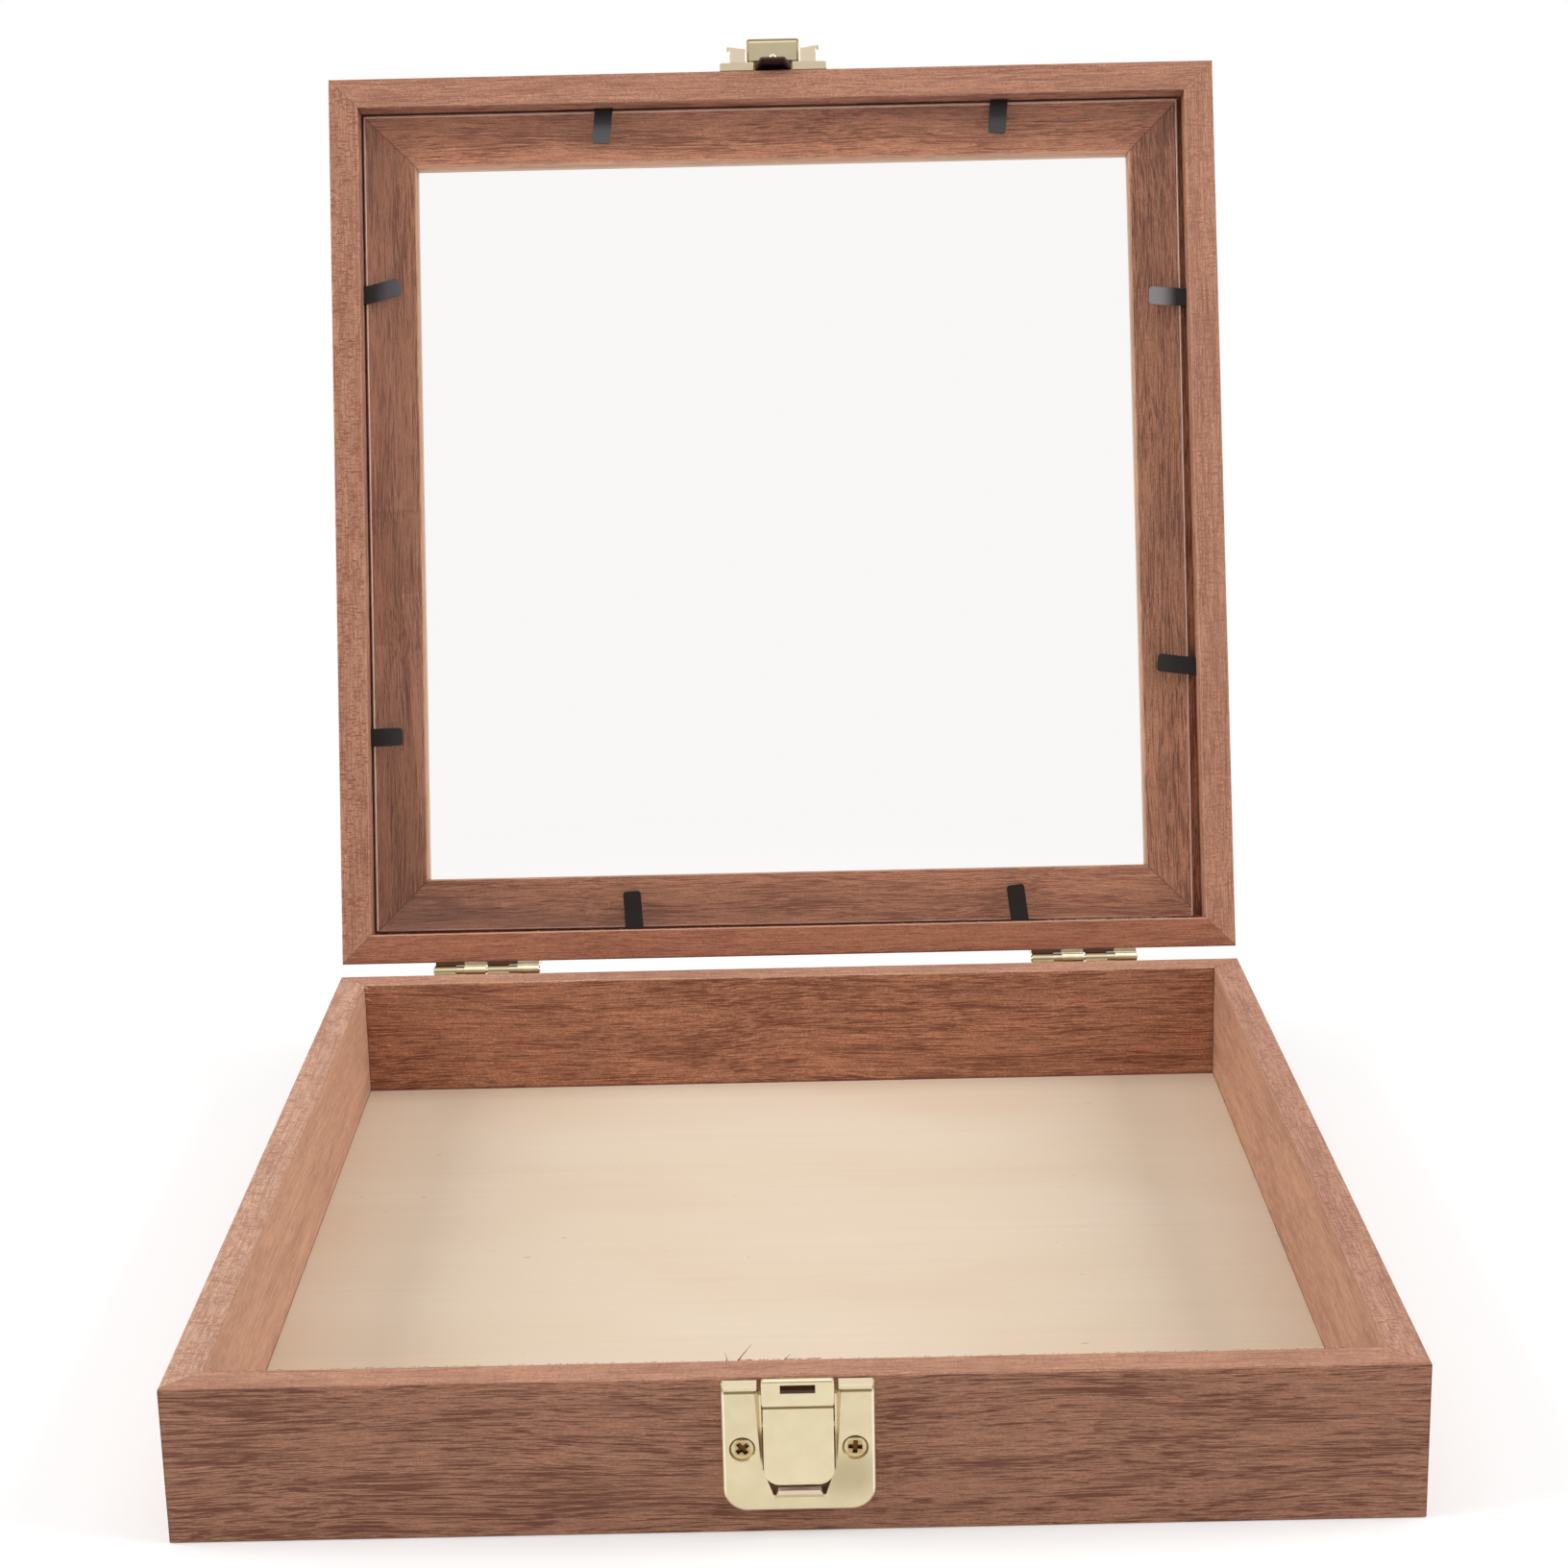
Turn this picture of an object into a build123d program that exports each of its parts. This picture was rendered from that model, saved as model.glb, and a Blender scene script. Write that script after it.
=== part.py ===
from build123d import *
import os

# Wooden display box: an open tray, a glass-topped lid on two hinges and a sprung press latch.
# Sizes are millimetres and angles degrees. The origin is the middle of the tray's underside,
# X runs to the right, Y to the back and Z up. The lid stands open against its hinges' stops.

# Box
box_width = 200.0
box_depth = 200.0
edge_round = 0.4

# Tray
tray_height = 27.0
tray_wall = 6.0
panel_thickness = 2.0
panel_rebate = 3.0
panel_fit = 0.1

# Lid frame and glass
seam_gap = 0.2
lid_height = 13.0
lid_wall = 6.5
lid_open_angle = 107.0
window_inset = 18.7
window_round = 1.2
glass_depth = 5.5
glass_thickness = 2.0
glass_gap_left = 0.55
glass_gap_right_front = 1.05
glass_gap_right_back = 2.1
glass_gap_front = 0.6
glass_gap_back_left = 0.7
glass_gap_back_right = 0.3
glass_edge_ease = 0.2

# Glass clips: strips driven into the rails, bent a little away from the glass
clip_width = 4.0
clip_thickness = 0.5
clip_length = 12.6
clip_flat = 4.0
clip_lift = 0.8
clip_bend_radius = 3.0
clip_corner = 0.8
clip_slot_over = 1.0

# Hinges
hinge_length = 23.3
hinge_insets = {"left": 32.4, "right": 34.0}
knuckle_length = 4.75
knuckle_gap = 0.45
leaf_thickness = 0.8
leaf_height = 11.0
leaf_corner = 1.2
leaf_clearance = 0.35
pin_radius = 0.6
pin_offset = 1.95
barrel_radius = 1.2
pressed_fit = 0.02
running_fit = 0.06
knuckle_root = 0.75
pin_head = 0.25
pin_head_radius = 0.85
collar_radius = 1.1
collar_play = 0.06
stop_gap = 0.05
stop_reach = 1.2
leaf_screw_rise = 6.6
leaf_screw_spread = 7.4

# Latch plate, on the tray
latch_x = 0.5
plate_width = 24.2
plate_height = 22.6
plate_corner = 3.8
plate_rise = 1.4
plate_round = 0.6
plate_shoulder = 0.6
sheet = 0.7
wing_width = 5.4
wing_reach = 3.5
wing_corner = 0.4
fold_round = 0.5
window_top = 12.8
window_step = 1.7
window_taper = 15.2
window_foot = 8.3
window_bottom = 19.85
cheek_top = 2.9
cheek_flat = 0.35
cheek_spread = 1.1
lip_rise = 1.85
lip_reach = 1.2
lip_width = 7.9
lip_tip_width = 6.6
latch_screw_spread = 8.9
latch_screw_drop = 11.8

# Latch lever
lever_back = 2.3
lever_sheet = 0.6
head_width = 11.4
head_rise = 0.95
head_drop = 3.45
head_round = 0.45
head_edge_round = 0.35
head_corner = 0.55
bill_width = 11.1
bill_drop = 16.85
bill_kick = 0.8
bill_corner = 2.5
lever_side_gap = 0.175
slot_width = 5.5
slot_height = 1.42
slot_drop = 0.56
ear_reach = 1.0
ear_inset = 0.7
pivot_drop = 7.5
pivot_out = 1.5
pivot_radius = 0.5

# Latch spring
wire = 0.35
spring_turns = 3.5
spring_pitch = 0.45
spring_fit = 0.05
spring_short_leg = 1.1
spring_long_leg = 4.0

# Hook plate and tongue, on the lid
hook_x = 0.7
hook_height = 11.2
hook_rise = 1.8
notch_width = 8.8
notch_height = 7.0
flap_near = 6.1
flap_width = 3.7
flap_reach = 4.85
flap_slope = 0.6
flap_lip = 1.4
flap_lip_over = 0.6
lift_width = 11.8
lift_edge_round = 0.55
lift_shelf = 1.55
lift_inner = 2.6
lift_reach = 7.8
lift_root = 9.8
lift_bend = 0.8
pip_radius = 0.75
pip_height = 0.3
pip_out = 3.3
hook_screw_spread = 8.4
hook_screw_rise = 6.4
tongue_width = 8.0
tongue_flat = 5.4
tongue_round = 0.7
tongue_near = 0.3
tongue_far = 2.05
tongue_sheet = 0.45
tongue_drop = 3.2
tongue_end_fit = 0.1
tongue_root_width = 5.0
tongue_root_end = 10.0
tongue_root_fit = 0.03
barb_width = 4.2
barb_far = 2.7
barb_fit = 0.26
barb_ramp = 0.6

# Screws
screw_fit = 0.03
screw_point = 1.2
latch_screw_turns = {"left": 38.0, "right": -4.0}
hook_screw_turns = {"left": 20.0, "right": 65.0}
latch_screw_head = 1.8
latch_screw_sink = 0.28
latch_screw_shank = 1.0
latch_screw_length = 6.2
leaf_screw_shank = 0.85
leaf_screw_length = 5.6
recess_share = 0.62
recess_width = 0.75
recess_depth = 0.5

# Levels and places that follow from the sizes above
lid_rim = tray_height + seam_gap
pin_z = tray_height + seam_gap / 2
pin_y = box_depth / 2 + pin_offset
box_height = lid_rim + lid_height
hinge_places = {
    "left": hinge_insets["left"] - box_width / 2,
    "right": box_width / 2 - hinge_insets["right"],
}
leaf_screw_head = leaf_screw_shank + leaf_thickness
knuckle_places = [(knuckle_length - hinge_length) / 2, (knuckle_length + knuckle_gap) / 2]
collar_middle = (knuckle_places[1] - knuckle_places[0]) / 2
collar_length = -knuckle_places[0] - knuckle_places[1] - knuckle_length - 2 * collar_play
leaf_screw_places = [(x, leaf_screw_rise, leaf_thickness) for x in (-leaf_screw_spread, leaf_screw_spread)]
latch_screw_places = {
    "left": (-latch_screw_spread, -latch_screw_drop, plate_rise),
    "right": (latch_screw_spread, -latch_screw_drop, plate_rise),
}
hook_screw_places = {
    "left": (-hook_screw_spread, hook_screw_rise, hook_rise),
    "right": (hook_screw_spread, hook_screw_rise, hook_rise),
}
leaf_top = barrel_radius + leaf_clearance
cheek_inside = bill_width / 2 + lever_side_gap
latch_pin_length = 2 * (cheek_inside + cheek_flat)

hinge_swing = Pos(0, pin_y, pin_z) * Rot(-lid_open_angle, 0, 0) * Pos(0, -pin_y, -pin_z)

# Each side of the box, a quarter turn about Z from the one before: half its length and how far out it lies
sides = {
    "front": (box_width / 2, box_depth / 2),
    "right": (box_depth / 2, box_width / 2),
    "back": (box_width / 2, box_depth / 2),
    "left": (box_depth / 2, box_width / 2),
}

# Each clip: the rail it is driven into, the rail's end it is measured from, its distance from that end,
# its lean and how much of it shows
clips = {
    "front_left": ("front", -1, 61.9, 5.4, 8.3),
    "front_right": ("front", 1, 48.0, 5.3, 8.0),
    "right_front": ("right", -1, 52.8, 3.6, 8.6),
    "right_back": ("right", 1, 63.2, 6.7, 8.9),
    "back_left": ("back", 1, 65.3, -3.0, 8.6),
    "back_right": ("back", -1, 47.7, -6.8, 8.3),
    "left_front": ("left", 1, 48.4, -13.3, 8.6),
    "left_back": ("left", -1, 51.0, -1.0, 7.3),
}


def on_lid(plane):
    """A plane drawn for the shut lid, swung with the lid to where it stands open."""
    return Plane(hinge_swing * plane.location)


def placed(face, x, y, out=0.0):
    """A place on a fitting's face: x and y across it, and how far out of it."""
    return Plane(origin=face.from_local_coords((x, y, out)), x_dir=face.x_dir, z_dir=face.z_dir)


def sunk(seat, turn):
    """The plane of a screw's head let in below its seat, with its cross turned by so many degrees."""
    return Plane(seat.location * Pos(0, 0, -latch_screw_sink) * Rot(0, 0, turn))


def side_view(face, x=0.0):
    """The plane across a face at x: its own x points out of the face and its y up the face."""
    return Plane(origin=face.from_local_coords((x, 0, 0)), x_dir=face.z_dir, z_dir=-face.x_dir)


def plan_at(face, y):
    """The plane across a face at height y: its own x is the face's, its y points out of it."""
    return Plane(origin=face.from_local_coords((0, y, 0)), x_dir=face.x_dir, z_dir=-face.y_dir)


def board_frame(side):
    """The frame of one side of the box: x runs along the board and y into the box."""
    quarter_turns = list(sides).index(side)
    return Plane.XY.rotated((0, 0, 90 * quarter_turns))


def tray_section(reach):
    """Section of a tray wall: a plain board, rebated below for the bottom panel."""
    with BuildSketch() as section:
        with BuildLine():
            Polyline(
                (-reach, 0),
                (-reach, tray_height),
                (tray_wall - reach, tray_height),
                (tray_wall - reach, panel_thickness),
                (tray_wall - panel_rebate - reach, panel_thickness),
                (tray_wall - panel_rebate - reach, 0),
                close=True,
            )
        make_face()
        corners = section.vertices()
        outer = corners.group_by(Axis.X)[0]
        rim = corners.group_by(Axis.Y)[-1].sort_by(Axis.X)[-1]
        fillet(outer + [rim], radius=edge_round)
    return section.sketch


def lid_section(reach):
    """Section of a lid rail: a wall whose top flange carries the glass and frames the window."""
    with BuildSketch() as section:
        with BuildLine():
            Polyline(
                (-reach, lid_rim),
                (-reach, box_height),
                (window_inset - reach, box_height),
                (window_inset - reach, lid_rim + glass_depth + glass_thickness),
                (lid_wall - reach, lid_rim + glass_depth + glass_thickness),
                (lid_wall - reach, lid_rim),
                close=True,
            )
        make_face()
        corners = section.vertices()
        outer = corners.group_by(Axis.X)[0]
        window_near, window_far = corners.group_by(Axis.X)[-1].sort_by(Axis.Y)
        rim = corners.group_by(Axis.Y)[0].sort_by(Axis.X)[-1]
        fillet(outer + [window_near, rim], radius=edge_round)
        fillet(window_far, radius=window_round)
    return section.sketch


def mitred_board(frame, half_length, reach, section):
    """A board run to the given section, its two ends cut to 45 degrees in plan."""
    with BuildPart() as board:
        with BuildSketch(Plane(origin=frame.origin, x_dir=frame.y_dir, z_dir=frame.x_dir)):
            add(section)
        extrude(amount=half_length, both=True)
        with BuildSketch(frame):
            with BuildLine():
                Polyline((-half_length, -reach), (half_length, -reach), (0, half_length - reach), close=True)
            make_face()
        extrude(amount=box_height, mode=Mode.INTERSECT)
    return board.part


def clip_place(side, end, inset, lean):
    """Where a clip leaves its rail: x points into the box along the clip and z to the glass."""
    frame = board_frame(side)
    half_length, reach = sides[side]
    entry = frame.from_local_coords((end * (half_length - inset), lid_wall - reach, lid_rim + glass_depth))
    return on_lid(Plane(origin=entry, x_dir=frame.y_dir.rotate(Axis.Z, lean), z_dir=(0, 0, 1)))


def countersunk_screws(seats, head_radius, shank_radius, length):
    """Cross-head countersunk screws, one at each seat, with their heads level with it."""
    arm = 2 * recess_share * head_radius
    with BuildPart() as fasteners:
        for seat in seats:
            with BuildSketch(side_view(seat)):
                with BuildLine():
                    Polyline(
                        (0, 0),
                        (0, head_radius),
                        (shank_radius - head_radius, shank_radius),
                        (screw_point - length, shank_radius),
                        (-length, 0),
                        close=True,
                    )
                make_face()
            revolve(axis=Axis(seat.origin, seat.z_dir))
        with Locations(*seats):
            Box(arm, recess_width, 2 * recess_depth, mode=Mode.SUBTRACT)
            Box(recess_width, arm, 2 * recess_depth, mode=Mode.SUBTRACT)
    return fasteners


def hinge_leaf(face, bore_radius):
    """A hinge leaf lying on the box, with y = 0 level with the pin and y running away from it."""
    with BuildPart(face) as leaf:
        with BuildSketch(face):
            with Locations((0, leaf_top)):
                Rectangle(hinge_length, leaf_height - leaf_top, align=(Align.CENTER, Align.MIN))
            with Locations(*[(x, 0) for x in knuckle_places]):
                Rectangle(knuckle_length, leaf_top, align=(Align.CENTER, Align.MIN))
        extrude(amount=leaf_thickness)
        far_corners = leaf.edges().filter_by(Axis(face.origin, face.z_dir))
        fillet(far_corners.group_by(Axis(face.origin, face.y_dir))[-1], radius=leaf_corner)
        with Locations(*[(x, 0, 0) for x in knuckle_places]):
            Box(knuckle_length, knuckle_root, pin_offset, align=(Align.CENTER, Align.MIN, Align.MIN))
        with Locations(*[(x, 0, pin_offset) for x in knuckle_places]):
            Cylinder(barrel_radius, knuckle_length, rotation=(0, 90, 0))
        with Locations((0, 0, pin_offset)):
            Cylinder(bore_radius, 2 * hinge_length, rotation=(0, 90, 0), mode=Mode.SUBTRACT)
        with Locations(*leaf_screw_places):
            CounterSinkHole(leaf_screw_shank + screw_fit, leaf_screw_head + screw_fit, counter_sink_angle=90)
    return leaf.part


# The faces that the fittings lie on: z points away from the wood
latch_face = Plane(origin=(latch_x, -box_depth / 2, tray_height), x_dir=(1, 0, 0), z_dir=(0, -1, 0))
hook_face = on_lid(Plane(origin=(hook_x, -box_depth / 2, lid_rim), x_dir=(1, 0, 0), z_dir=(0, -1, 0)))
tray_leaf_faces = {
    name: Plane(origin=(x, box_depth / 2, pin_z), x_dir=(1, 0, 0), z_dir=(0, 1, 0))
    for name, x in hinge_places.items()
}
lid_leaf_faces = {
    name: on_lid(Plane(origin=(x, box_depth / 2, pin_z), x_dir=(-1, 0, 0), z_dir=(0, 1, 0)))
    for name, x in hinge_places.items()
}

# The screws of each fitting, as planes on their heads
latch_screw_seats = {
    hand: sunk(placed(latch_face, *place), latch_screw_turns[hand]) for hand, place in latch_screw_places.items()
}
hook_screw_seats = {
    hand: sunk(placed(hook_face, *place), hook_screw_turns[hand]) for hand, place in hook_screw_places.items()
}
tray_leaf_seats = {
    name: [placed(face, *place) for place in leaf_screw_places] for name, face in tray_leaf_faces.items()
}
lid_leaf_seats = {
    name: [placed(face, *place) for place in leaf_screw_places] for name, face in lid_leaf_faces.items()
}

# Screw holes in the wood, by board: the screws' planes, their shank's radius and their length
tray_holes = {
    "front": (latch_screw_seats.values(), latch_screw_shank, latch_screw_length),
    "back": (sum(tray_leaf_seats.values(), []), leaf_screw_shank, leaf_screw_length),
}
lid_holes = {
    "front": (hook_screw_seats.values(), latch_screw_shank, latch_screw_length),
    "back": (sum(lid_leaf_seats.values(), []), leaf_screw_shank, leaf_screw_length),
}

os.makedirs("parts", exist_ok=True)

# Tray: four mitred walls and the bottom panel let into them
for side, (half_length, reach) in sides.items():
    with BuildPart() as tray_wall_board:
        add(mitred_board(board_frame(side), half_length, reach, tray_section(reach)))
        if side in tray_holes:
            seats, shank_radius, length = tray_holes[side]
            with Locations(*seats):
                Cylinder(shank_radius + screw_fit, 2 * length, mode=Mode.SUBTRACT)
    tray_wall_board.part.label = f"tray_wall_{side}"
    export_step(tray_wall_board.part, f"parts/tray_wall_{side}.step")

with BuildPart() as bottom_panel:
    with BuildSketch():
        inset = tray_wall - panel_rebate + panel_fit
        Rectangle(box_width - 2 * inset, box_depth - 2 * inset)
    extrude(amount=panel_thickness)
bottom_panel.part.label = "bottom_panel"
export_step(bottom_panel.part, "parts/bottom_panel.step")

# Lid: four mitred rails, the glass (cut a little out of square) in their rebate and the clips that hold it
for side, (half_length, reach) in sides.items():
    with BuildPart() as lid_rail:
        add(mitred_board(on_lid(board_frame(side)), half_length, reach, lid_section(reach)))
        if side in lid_holes:
            seats, shank_radius, length = lid_holes[side]
            with Locations(*seats):
                Cylinder(shank_radius + screw_fit, 2 * length, mode=Mode.SUBTRACT)
        for clip_side, end, inset, lean, shows in clips.values():
            if clip_side == side:
                slot = placed(clip_place(side, end, inset, lean), clip_slot_over, 0)
                with Locations(slot):
                    Box(
                        clip_length - shows + clip_slot_over,
                        clip_width,
                        clip_thickness,
                        align=(Align.MAX, Align.CENTER, Align.MAX),
                        mode=Mode.SUBTRACT,
                    )
    lid_rail.part.label = f"lid_rail_{side}"
    export_step(lid_rail.part, f"parts/lid_rail_{side}.step")

with BuildPart() as lid_glass:
    rebate_x = box_width / 2 - lid_wall
    rebate_y = box_depth / 2 - lid_wall
    with BuildSketch(on_lid(Plane.XY.offset(lid_rim + glass_depth))):
        with BuildLine():
            Polyline(
                (glass_gap_left - rebate_x, glass_gap_front - rebate_y),
                (rebate_x - glass_gap_right_front, glass_gap_front - rebate_y),
                (rebate_x - glass_gap_right_back, rebate_y - glass_gap_back_right),
                (glass_gap_left - rebate_x, rebate_y - glass_gap_back_left),
                close=True,
            )
        make_face()
    extrude(amount=glass_thickness)
    chamfer(lid_glass.edges(), length=glass_edge_ease)
lid_glass.part.label = "lid_glass"
export_step(lid_glass.part, "parts/lid_glass.step")

for name, (side, end, inset, lean, shows) in clips.items():
    place = clip_place(side, end, inset, lean)
    driven = shows - clip_length
    with BuildPart() as glass_clip:
        with BuildSketch(Plane(origin=place.origin, x_dir=place.x_dir, z_dir=-place.y_dir)) as strip:
            with BuildLine():
                Polyline(
                    (driven, 0),
                    (clip_flat, 0),
                    (shows, -clip_lift),
                    (shows, -clip_lift - clip_thickness),
                    (clip_flat, -clip_thickness),
                    (driven, -clip_thickness),
                    close=True,
                )
            make_face()
            fillet(strip.vertices().sort_by(Axis.X)[2:4], radius=clip_bend_radius)
        extrude(amount=clip_width / 2, both=True)
        tip_edges = glass_clip.edges().filter_by(Axis(place.origin, place.z_dir))
        fillet(tip_edges.group_by(Axis(place.origin, place.x_dir))[-1], radius=clip_corner)
    glass_clip.part.label = f"glass_clip_{name}"
    export_step(glass_clip.part, f"parts/glass_clip_{name}.step")

# Hinges: two leaves of one shape, the lid's with stop lugs that land on the tray's leaf
for name, x in hinge_places.items():
    with BuildPart() as tray_leaf:
        add(hinge_leaf(tray_leaf_faces[name], pin_radius + pressed_fit))
    tray_leaf.part.label = f"hinge_{name}_tray_leaf"
    export_step(tray_leaf.part, f"parts/hinge_{name}_tray_leaf.step")

    with BuildPart() as lid_leaf:
        add(hinge_leaf(lid_leaf_faces[name], pin_radius + running_fit))
        landing = box_depth / 2 + leaf_thickness + stop_gap
        for place in knuckle_places:
            with BuildSketch(Plane.YZ.offset(x - place)):
                with BuildLine():
                    Polyline(
                        (landing, pin_z - barrel_radius - stop_reach),
                        (pin_y, pin_z - barrel_radius - stop_reach),
                        (pin_y, pin_z - pin_radius - running_fit - knuckle_gap),
                        (landing, pin_z - pin_radius - running_fit - knuckle_gap),
                        close=True,
                    )
                make_face()
            extrude(amount=knuckle_length / 2, both=True)
    lid_leaf.part.label = f"hinge_{name}_lid_leaf"
    export_step(lid_leaf.part, f"parts/hinge_{name}_lid_leaf.step")

    with BuildPart() as hinge_pin:
        with Locations(Plane(origin=(x, pin_y, pin_z), x_dir=(0, 1, 0), z_dir=(1, 0, 0))):
            Cylinder(pin_radius, hinge_length + 2 * pressed_fit)
            with Locations((0, 0, -collar_middle), (0, 0, collar_middle)):
                Cylinder(collar_radius, collar_length)
        for end in (-1, 1):
            head = Plane(origin=(x + end * (hinge_length / 2 + pressed_fit), pin_y, pin_z), z_dir=(end, 0, 0))
            with Locations(head):
                Cone(
                    pin_head_radius,
                    pin_radius,
                    pin_head,
                    align=(Align.CENTER, Align.CENTER, Align.MIN),
                )
    hinge_pin.part.label = f"hinge_{name}_pin"
    export_step(hinge_pin.part, f"parts/hinge_{name}_pin.step")

    for leaf, seats in (("tray", tray_leaf_seats[name]), ("lid", lid_leaf_seats[name])):
        leaf_screws = countersunk_screws(seats, leaf_screw_head, leaf_screw_shank, leaf_screw_length)
        leaf_screws.part.label = f"hinge_{name}_{leaf}_screws"
        export_step(leaf_screws.part, f"parts/hinge_{name}_{leaf}_screws.step")

# Latch plate: a shallow pan with raised cheeks, folded wings and a lip below the lever
with BuildPart(latch_face) as latch_plate:
    with BuildSketch(latch_face) as outline:
        Rectangle(plate_width, plate_height, align=(Align.CENTER, Align.MAX))
        fillet(outline.vertices().group_by(Axis.Y)[0], radius=plate_corner)
    extrude(amount=plate_rise)
    rim_edges = latch_plate.faces().sort_by(Axis(latch_face.origin, latch_face.z_dir))[-1].edges()
    fillet(rim_edges.sort_by(Axis.Z)[:-1], radius=plate_round)
    with BuildSketch(latch_face) as hollow:
        Rectangle(plate_width - 2 * sheet, plate_height - sheet, align=(Align.CENTER, Align.MAX))
        fillet(hollow.vertices().group_by(Axis.Y)[0], radius=plate_corner - sheet)
    extrude(amount=plate_rise - sheet, mode=Mode.SUBTRACT)
    for hand in (-1, 1):
        with Locations((hand * plate_width / 2, 0, 0)):
            Box(2 * sheet, 2 * plate_shoulder, 2 * plate_rise, mode=Mode.SUBTRACT)
        with BuildSketch(plan_at(latch_face, -window_step)):
            with BuildLine():
                Polyline(
                    (hand * cheek_inside, 0),
                    (hand * cheek_inside, cheek_top),
                    (hand * (cheek_inside + cheek_flat), cheek_top),
                    (hand * (cheek_inside + cheek_spread), plate_rise),
                    (hand * (cheek_inside + cheek_spread), 0),
                    close=True,
                )
            make_face()
        with BuildSketch(plan_at(latch_face, -window_taper)):
            with BuildLine():
                Polyline(
                    (hand * cheek_inside, 0),
                    (hand * cheek_inside, plate_rise + pressed_fit),
                    (hand * (cheek_inside + cheek_flat / 2), plate_rise + pressed_fit),
                    (hand * (cheek_inside + cheek_flat), plate_rise),
                    (hand * (cheek_inside + cheek_flat), 0),
                    close=True,
                )
            make_face()
        loft(ruled=True)
    with BuildSketch(latch_face):
        with BuildLine():
            Polyline(
                (-window_top / 2, sheet),
                (window_top / 2, sheet),
                (window_top / 2, -window_step),
                (cheek_inside, -window_step),
                (cheek_inside, -window_taper),
                (window_foot / 2, -window_bottom),
                (-window_foot / 2, -window_bottom),
                (-cheek_inside, -window_taper),
                (-cheek_inside, -window_step),
                (-window_top / 2, -window_step),
                close=True,
            )
        make_face()
    extrude(amount=plate_rise, mode=Mode.SUBTRACT)
    for hand in (-1, 1):
        wing_middle = hand * (window_top + wing_width) / 2
        with Locations((wing_middle, 0, plate_rise - sheet)):
            wing = Box(wing_width, sheet, wing_reach - plate_rise + sheet, align=(Align.CENTER, Align.MAX, Align.MIN))
        fillet(wing.edges().filter_by(Axis.Z).group_by(Axis.Y)[0], radius=wing_corner)
    fold_edges = latch_plate.faces().group_by(Axis.Z)[-1].edges().filter_by(Axis.X)
    fillet(fold_edges.group_by(Axis.Y)[-1], radius=fold_round)
    lip_direction = latch_face.y_dir * lip_rise + latch_face.z_dir * lip_reach
    lip_root = placed(latch_face, 0, -window_bottom - sheet / 2, plate_rise - sheet / 2)
    for width, share in ((lip_width, 0.0), (lip_tip_width, 1.0)):
        with BuildSketch(Plane(origin=lip_root.origin + lip_direction * share, x_dir=(1, 0, 0), z_dir=lip_direction)):
            Rectangle(width, sheet)
    loft()
    with Locations(*latch_screw_places.values()):
        countersink = latch_screw_head + latch_screw_sink + screw_fit
        CounterSinkHole(latch_screw_shank + screw_fit, countersink, counter_sink_angle=90)
    with Locations((0, -pivot_drop, pivot_out)):
        pin_hole = latch_pin_length + 2 * pressed_fit
        Cylinder(pivot_radius + pressed_fit, pin_hole, rotation=(0, 90, 0), mode=Mode.SUBTRACT)
latch_plate.part.label = "latch_plate"
export_step(latch_plate.part, "parts/latch_plate.step")

# Latch lever: one bent sheet with the slotted head folded over the bill, and two ears on the pin
with BuildPart(latch_face) as latch_lever:
    with BuildSketch(side_view(latch_face)) as profile:
        with BuildLine():
            Polyline(
                (lever_back, head_rise),
                (lever_back + 2 * lever_sheet, head_rise),
                (lever_back + 2 * lever_sheet, -head_drop),
                (lever_back + lever_sheet, -head_drop),
                (lever_back + lever_sheet + bill_kick, -bill_drop),
                (lever_back + bill_kick, -bill_drop),
                (lever_back, -head_drop),
                close=True,
            )
        make_face()
        head_foot = profile.vertices().sort_by_distance((lever_back + 2 * lever_sheet, -head_drop))[0]
        fillet(profile.vertices().group_by(Axis.Y)[-1], radius=head_round)
        fillet(head_foot, radius=head_edge_round)
    extrude(amount=head_width / 2, both=True)
    with BuildSketch(latch_face) as front_view:
        with Locations((0, head_rise)):
            Rectangle(head_width, head_rise + head_drop, align=(Align.CENTER, Align.MAX))
        fillet(front_view.vertices(), radius=head_corner)
        Rectangle(bill_width, bill_drop, align=(Align.CENTER, Align.MAX))
        fillet(front_view.vertices().group_by(Axis.Y)[0], radius=bill_corner)
    extrude(amount=lever_back + bill_kick + 2 * lever_sheet, mode=Mode.INTERSECT)
    with Locations((0, -slot_drop, lever_back + lever_sheet)):
        Box(slot_width, slot_height, 4 * lever_sheet, mode=Mode.SUBTRACT)
    for hand in (-1, 1):
        with BuildSketch(side_view(latch_face, hand * (bill_width - ear_inset) / 2)):
            with BuildLine():
                Polyline(
                    (lever_back + lever_sheet / 2, -pivot_drop + 2 * ear_reach),
                    (pivot_out - ear_reach, -pivot_drop + ear_reach / 2),
                    (pivot_out - ear_reach, -pivot_drop - ear_reach / 2),
                    (lever_back + lever_sheet, -pivot_drop - 2 * ear_reach),
                    close=True,
                )
            make_face()
        extrude(amount=ear_inset / 2, both=True)
    with Locations((0, -pivot_drop, pivot_out)):
        Cylinder(pivot_radius + running_fit, latch_pin_length, rotation=(0, 90, 0), mode=Mode.SUBTRACT)
latch_lever.part.label = "latch_lever"
export_step(latch_lever.part, "parts/latch_lever.step")

with BuildPart(latch_face) as latch_pin:
    with Locations((0, -pivot_drop, pivot_out)):
        Cylinder(pivot_radius, latch_pin_length, rotation=(0, 90, 0))
latch_pin.part.label = "latch_pin"
export_step(latch_pin.part, "parts/latch_pin.step")

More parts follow.
